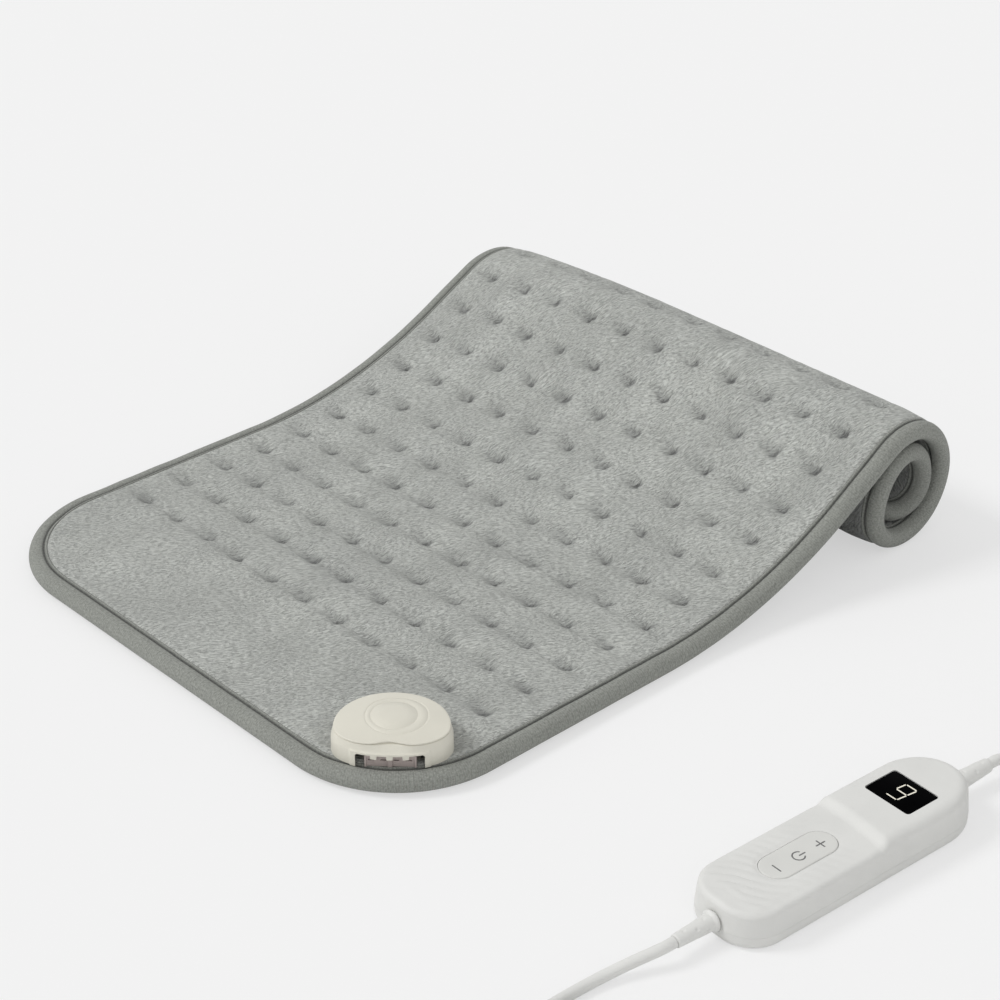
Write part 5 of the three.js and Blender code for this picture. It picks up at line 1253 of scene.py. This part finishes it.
def rib_height(x, y):
    """Low wavy ribs that run slantwise over the keypad and fade towards the display."""
    across = RIB["cosine"] * x + RIB["sine"] * y
    along = RIB["sine"] * x - RIB["cosine"] * y
    phase = (across + RIB["wave"] * np.sin(along / RIB["wave_run"])) / RIB["pitch"]
    height = RIB["height"] * np.abs(np.sin(math.pi * phase)) ** RIB_SHARPNESS
    height = height * (1 - RIB_FADED_SHARE * smoothstep(x, *RIB_FADES["keypad"]))
    height = height * (1 - smoothstep(x - STEP_PLACE, *RIB_FADES["step"]))
    height = height * smoothstep(BAR["width"] / 2 - np.abs(y), *RIB_FADES["side"])
    height = height * smoothstep(x + BAR["length"] / 2, *RIB_FADES["end"])
    return height * smoothstep(pill_distance(x, y), *RIB_FADES["key"])


def bar_rings(inset, height_of, rounding_of, foot, ribs):
    """Rings up a shell's side, over its edge and across its top to the middle line."""
    rounding = rounding_of(bar_plan(BAR, inset))
    rings = []
    for share in (0, 0.5, 1):
        plan = bar_plan(BAR, inset + DRAFT * share)
        rings.append(at_height(plan, foot + (height_of(plan) - rounding - foot) * share))
    for inward, down in QUARTER_ROUND:
        plan = bar_plan(BAR, inset + DRAFT + rounding * inward)
        rings.append(at_height(plan, height_of(plan) - rounding * down))
    start, end = inset + DRAFT + rounding, TOP_GRID_INSET
    plans = [bar_plan(BAR, start + (end - start) * share) for share in np.linspace(0, 1, 8)[1:]]
    plans += to_middle(plans[-1], np.linspace(0, 1, 19)[1:])
    rings += [at_height(plan, height_of(plan)) for plan in plans]
    if ribs:
        for ring in rings[8:]:
            ring[:, 2] += rib_height(ring[:, 0], ring[:, 1])
    return rings


def boss_places():
    return [
        (end * (BAR["length"] / 2 - BOSS_END_INSET), side * (BAR["width"] / 2 - BOSS_SIDE_INSET))
        for end in (1, -1) for side in (1, -1)
    ]


def relief_holes():
    far = BAR["length"] / 2 + OVERRUN
    near, radius = far - SHELL_WALL - 3 * OVERRUN, NEAR_RELIEF["neck"] / 2 + GAP
    return [
        rod("relief_hole", CONTROLLER, (end * far, 0, RELIEF_HEIGHT), (end * near, 0, RELIEF_HEIGHT), radius)
        for end in (-1, 1)
    ]


def add_upper_shell():
    def rounding(plan):
        return EDGE_ROUNDING + (DISPLAY_ROUNDING - EDGE_ROUNDING) * step_share(plan, 3, 3)

    def ceiling(plan):
        return top_height(plan - (SHELL_WALL, 0)) - SHELL_WALL

    foot = PARTING + SEAM
    outer = bar_rings(0, top_height, rounding, foot, True)
    inner = bar_rings(SHELL_WALL, ceiling, lambda plan: rounding(plan) - 1, foot, False)
    shell = loft("controller_top", inner[::-1] + outer, CONTROLLER, caps=False)
    deep, seat = KEYPAD_HEIGHT - 2 * SHELL_WALL, DISPLAY_HEIGHT - 1.5 * GAP - PANE["thickness"]
    cuts = [
        prism(name, CONTROLLER, outline, low, DISPLAY_HEIGHT + OVERRUN)
        for name, outline, low in (
            ("key_hole", grown_outline(KEY, KEY_GAP, KEY["width"] / 2 + KEY_GAP, 20), deep),
            ("pane_seat", grown_outline(PANE, GAP, PANE["corner"]), seat),
            ("pane_opening", grown_outline(PANE, -PANE["ledge"], PANE["corner"]), deep),
        )
    ]
    return shape(shell, *cuts, *relief_holes())


def add_lower_shell():
    def rings(inset, floor, rounding):
        plan = bar_plan(BAR, inset)
        made = [at_height(plan, PARTING + (floor + rounding - PARTING) * share) for share in (0, 0.5, 1)]
        for inward, down in QUARTER_ROUND:
            plan = bar_plan(BAR, inset + rounding * inward)
            made.append(at_height(plan, floor + rounding * down))
        return made + [at_height(middle, floor) for middle in to_middle(plan, (0.5, 1))]

    outer, inner = rings(0, 0, FOOT_ROUNDING), rings(SHELL_WALL, SHELL_WALL, FOOT_ROUNDING / 2)
    shell = loft("controller_base", inner[::-1] + outer, CONTROLLER, caps=False)
    bores = [
        rod("screw_bore", CONTROLLER, (x, y, -OVERRUN), (x, y, SHELL_WALL + OVERRUN), SCREW_BORE / 2)
        for x, y in boss_places()
    ]
    return shape(shell, *bores, *relief_holes())


# The key's edge, ring by ring: inset and fall, as shares of its plate's thickness
KEY_EDGE = (
    (0, 1), (0, 0.3), (0.02, 0.16), (0.08, 0.06), (0.17, 0.01), (0.35, 0), (0.9, -0.02), (1.6, -0.03),
    (2.6, -0.035),
)


def add_key():
    """The pill-shaped cap, faintly crowned, with its two plungers."""
    top, plate = KEYPAD_HEIGHT + KEY["proud"], KEY["plate"]
    rings = []
    for inward, down in KEY_EDGE:
        outline = grown_outline(KEY, -plate * inward, max(KEY["width"] / 2 - plate * inward, 0.3), 24)
        rings.append(at_height(outline, top - plate * down))
    cap = loft("key_plate", rings, CONTROLLER, sharp=45)
    plungers = [
        rod("plunger", CONTROLLER, (x, 0, top - 1.5 * plate), (x, 0, top - plate / 2), 1.5, 24)
        for x in (KEY["x"] - KEY["spacing"], KEY["x"] + KEY["spacing"])
    ]
    return shape(cap, *plungers, operation="UNION", sharp=45)


def stroke(points, width, steps=6):
    """The outline of a pen stroke with round ends along a line of points."""
    points = np.asarray(points, float)
    along = np.gradient(points, axis=0)
    along /= np.linalg.norm(along, axis=1)[:, None]
    across = np.column_stack((-along[:, 1], along[:, 0])) * width / 2

    def cap(centre, arm):
        side = np.array([arm[1], -arm[0]])
        angles = np.linspace(0, math.pi, steps + 2)[1:-1, None]
        return centre + arm * np.cos(angles) + side * np.sin(angles)

    end, start = cap(points[-1], across[-1]), cap(points[0], -across[0])
    return np.vstack((points + across, end, (points - across)[::-1], start))[::-1]


def printed(name, strokes, height, material, slot, body, thickness=0.03, step=0.006):
    """Flat marks, a hair proud of the face that they lie on, each a little above the one before."""
    points, faces = [], []
    for level, outline in enumerate(strokes):
        base, low = len(points), height + step * level
        for z in (low, low + thickness):
            points += [(x, y, z) for x, y in outline]
        faces += [tuple(base + corner for corner in face) for face in loft_faces(2, len(outline))]
    return dress(new_piece(name, turned(CONTROLLER, points), faces), material, slot, body=body)


def add_symbols():
    """Minus, power and plus on the key, read from the controller's near end."""
    x, y, spacing, width = KEY["x"] - 0.7, -0.9, 12.0, 0.62
    ring, bar = 2.55, 2.25
    arc = [
        (x + ring * math.cos(angle), y + ring * math.sin(angle))
        for angle in np.radians(np.linspace(42, 318, 40))
    ]
    strokes = [
        stroke([(x - spacing, y - bar), (x - spacing, y + bar)], width),
        stroke(arc, width),
        stroke([(x + 0.5, y), (x + ring + 0.8, y)], width),
        stroke([(x + spacing, y - bar), (x + spacing, y + bar)], width),
        stroke([(x + spacing - bar, y), (x + spacing + bar, y)], width),
    ]
    height = KEYPAD_HEIGHT + KEY["proud"] + 0.07
    return printed("key_symbols", strokes, height, GREY_PRINT, "key_white", "key_cap")


def add_pane():
    rings = []
    for inward, down in PANE_EDGE:
        outline = grown_outline(PANE, -inward, PANE["corner"] - inward)
        rings.append(at_height(outline, DISPLAY_HEIGHT - GAP / 2 - PANE["thickness"] * down))
    return loft("display_pane", rings, CONTROLLER)


def add_digit():
    """A seven-segment 9 that stands upright towards the far end."""
    half_width, half_height, slant, pen, space = 2.9, 5.3, 0.12, 0.62, 0.6
    segments = [
        ((1, 1), (1, -1)), ((1, 1), (0, 1)), ((1, -1), (0, -1)),
        ((0, 1), (0, -1)), ((0, -1), (-1, -1)), ((-1, 1), (-1, -1)),
    ]
    strokes = []
    for ends in segments:
        a, b = np.array(ends) * (half_height, half_width)
        along = (b - a) / np.linalg.norm(b - a)
        line = np.array([a + along * space, b - along * space])
        line[:, 1] -= slant * line[:, 0]
        line[:, 0] += PANE["x"]
        strokes.append(stroke(line, pen, steps=3))
    return printed("display_digit", strokes, DISPLAY_HEIGHT - GAP / 2 + 0.01, LIT_SEGMENT, "key_white", BASE)


def relief_rings(size, notches, sides=64):
    """A strain relief along +X from its shell, with rows of notches that let it bend."""
    wall, flange = SHELL_WALL + DRAFT + GAP, FLANGE_THICKNESS
    collar, neck, wide, body, tip = (size[part] / 2 for part in ("collar", "neck", "flange", "body", "tip"))
    start, end = flange * 1.3, size["length"] - 1.2
    outline = [
        (collar, -wall - flange), (collar, -wall), (neck, -wall), (neck, GAP), (wide - 0.25, GAP),
        (wide, GAP + 0.25), (wide, flange * 0.75), (wide - 0.3, flange), (body, start),
    ]
    outline += [
        (body + (tip - body) * share, start + (end - start) * share) for share in np.linspace(0, 1, 44)[1:]
    ]
    outline += [(tip - 0.05, end + 0.5), (tip - 0.25, end + 0.95), (tip - 0.6, size["length"] - GAP / 3)]
    angles = round_angles(sides)
    rings = []
    for radius, along in outline:
        depth = np.zeros(sides)
        for notch in range(notches if along >= start else 0):
            centre = start + (end - start) * between(notch, 0, notches - 1, NOTCH["first"], NOTCH["last"])
            for row in range(4):
                turn = np.angle(np.exp(1j * (angles - (row + 0.5 * (notch % 2)) * math.pi / 2)))
                lengthwise = math.exp(-((along - centre) / NOTCH["along"]) ** 4)
                depth += np.exp(-(turn / NOTCH["turn"]) ** 4) * lengthwise
        reach = radius - NOTCH["depth"] * depth
        rings.append(np.column_stack((np.full(sides, along), reach * np.cos(angles), reach * np.sin(angles))))
    return rings


def add_relief(name, size, place, start, turn, height, node, notches=3):
    """A strain relief whose root stands at a point of a turned frame; turn is 1 along +X or -1."""
    rings = [ring * (turn, turn, 1) + (start, 0, height) for ring in relief_rings(size, notches)]
    return dress(loft(name, rings, place, sharp=55), CORD_WHITE, "cord_white", node)


def add_connector():
    """Two half shells of the pad lead's connector, each with its prongs beside the contacts."""
    middle = CONNECTOR_HEIGHT / 2
    high = (OPENING_HEIGHT - 3 * GAP) / 2
    front = CONNECTOR_BAR["length"] / 2
    spread = OPENING_WIDTH / 2 - PRONG_CLEARANCE - PRONG_WIDTH / 2
    prong = rounded_outline(
        PRONG_LENGTH + PRONG_ROOT, PRONG_WIDTH, 0.5, front + (PRONG_LENGTH - PRONG_ROOT) / 2, 3,
    )
    halves = []
    for side, name, node in (
        (1, "connector_top", "connector_upper_shell"), (-1, "connector_base", "connector_lower_shell"),
    ):
        split = middle + side * GAP / 2
        levels = [(0, split), (0, middle + side * (middle - CONNECTOR_ROUNDING))]
        for inward, down in QUARTER_ROUND:
            levels.append((CONNECTOR_ROUNDING * inward, middle + side * (middle - CONNECTOR_ROUNDING * down)))
        rings = [at_height(bar_plan(CONNECTOR_BAR, inset, 8, 16), height) for inset, height in levels]
        shell = loft(name, rings, CONNECTOR)
        foot = min(split, split + side * high)
        prongs = [
            prism("prong", CONNECTOR, [(x, y + shift) for x, y in prong], foot, foot + high)
            for shift in (-spread, spread)
        ]
        shape(shell, *prongs, operation="UNION")
        halves.append(dress(shell, WARM_WHITE, "warm_white", node))
    return halves


def add_plug(sides=72):
    """The moulded mains plug: a ribbed neck that widens into the grip."""
    angles = round_angles(sides)
    cosines, sines = np.cos(angles), np.sin(angles)
    rings = []
    for along, widen in smooth_route(PLUG_RING_SHARES, 0.012):
        widen = min(max(widen, 0), 1)
        power = 1 - PLUG_SQUARE_SHARE * widen
        width, height = (
            (PLUG["tip"] + (size - PLUG["tip"]) * widen) / 2 for size in (PLUG["width"], PLUG["height"])
        )
        grooved = math.sin(2 * math.pi * along * PLUG_RIBS["count"]) > 0.2
        neck = PLUG_RIBS["depth"] * (grooved and PLUG_RIBS["begins"] < along < PLUG_RIBS["ends"])
        rings.append(np.column_stack((
            PLUG["x"] + (width - neck) * squared(cosines, power),
            np.full(sides, PLUG["y"] - along * PLUG["length"]),
            PLUG["height"] / 2 + (height - neck) * squared(sines, power),
        )))
    return dress(loft("plug_body", rings, sharp=50), CORD_WHITE, "cord_white", "mains_plug")


# Assembly
pad = dress(add_pad(), PLUSH, "flannel", "pad_top_cover", "pad_felt_carrier", "pad_bottom_cover")
dress(add_binding(), TAPE, "binding_tape", "edge_binding")
dress(add_stitches(), THREAD, "binding_tape")
dress(add_socket(), WARM_WHITE, "warm_white", "socket_top_shell")
dress(add_contact_block(), BLOCK_SHADED_WHITE, "warm_white", "socket_contact_block")
dress(add_upper_shell(), COOL_WHITE, "cool_white", "controller_upper_shell")
dress(add_lower_shell(), COOL_WHITE, "cool_white", "controller_lower_shell")
dress(add_key(), KEY_WHITE, "key_white", "key_cap", body="key_cap")
add_symbols()
dress(add_pane(), SMOKED_PANE, "smoked_pane", "display_window")
add_digit()
half_bar = BAR["length"] / 2
add_relief("near_relief", NEAR_RELIEF, CONTROLLER, -half_bar, -1, RELIEF_HEIGHT, "near_strain_relief")
add_relief("far_relief", FAR_RELIEF, CONTROLLER, half_bar, 1, RELIEF_HEIGHT, "far_strain_relief")
connector_relief = add_relief(
    "connector_relief", CONNECTOR_RELIEF, CONNECTOR, -CONNECTOR_BAR["length"] / 2, -1,
    CONNECTOR_HEIGHT / 2, "connector_strain_relief", notches=2,
)
connector_halves = add_connector()
plug_body = add_plug()

# The solids that show as they are: finish, rounding of the edges and the starts of their names
NODE_FINISHES = (
    (WARM_WHITE, 0.25, "socket_base_shell"), (CORD_WHITE, 0, "supply_lead", "return_lead"),
    (STEEL, 0.12, "socket_screw", "controller_screw"), (BRASS, 0.12, "socket_pin", "connector_blade"),
    (NICKEL, 0.25, "plug_blade"), (NICKEL, 0.3, "fuse"), (SILICONE, 0, "heating_wire"),
    (BOARD_GREEN, 0.15, "circuit_board"), (FILM_YELLOW, 0.5, "capacitor"),
    (BLACK_PLASTIC, 0.15, "key_yoke", "control_chip"), (BLACK_PLASTIC, 0.4, "thermal_cutout"),
    (BLACK_PLASTIC, 0.2, "minus_switch", "power_switch", "plus_switch"),
    (BLACK_PLASTIC, 0.3, "display_module", "triac"),
)
for name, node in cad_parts.items():
    for material, edge, *starts in NODE_FINISHES:
        if name.startswith(tuple(starts)) and not node.hide_render:
            node.data.materials.clear()
            node.data.materials.append(material)
            if edge:
                soften(node, edge)

bpy.context.scene.view_settings.view_transform = "Standard"
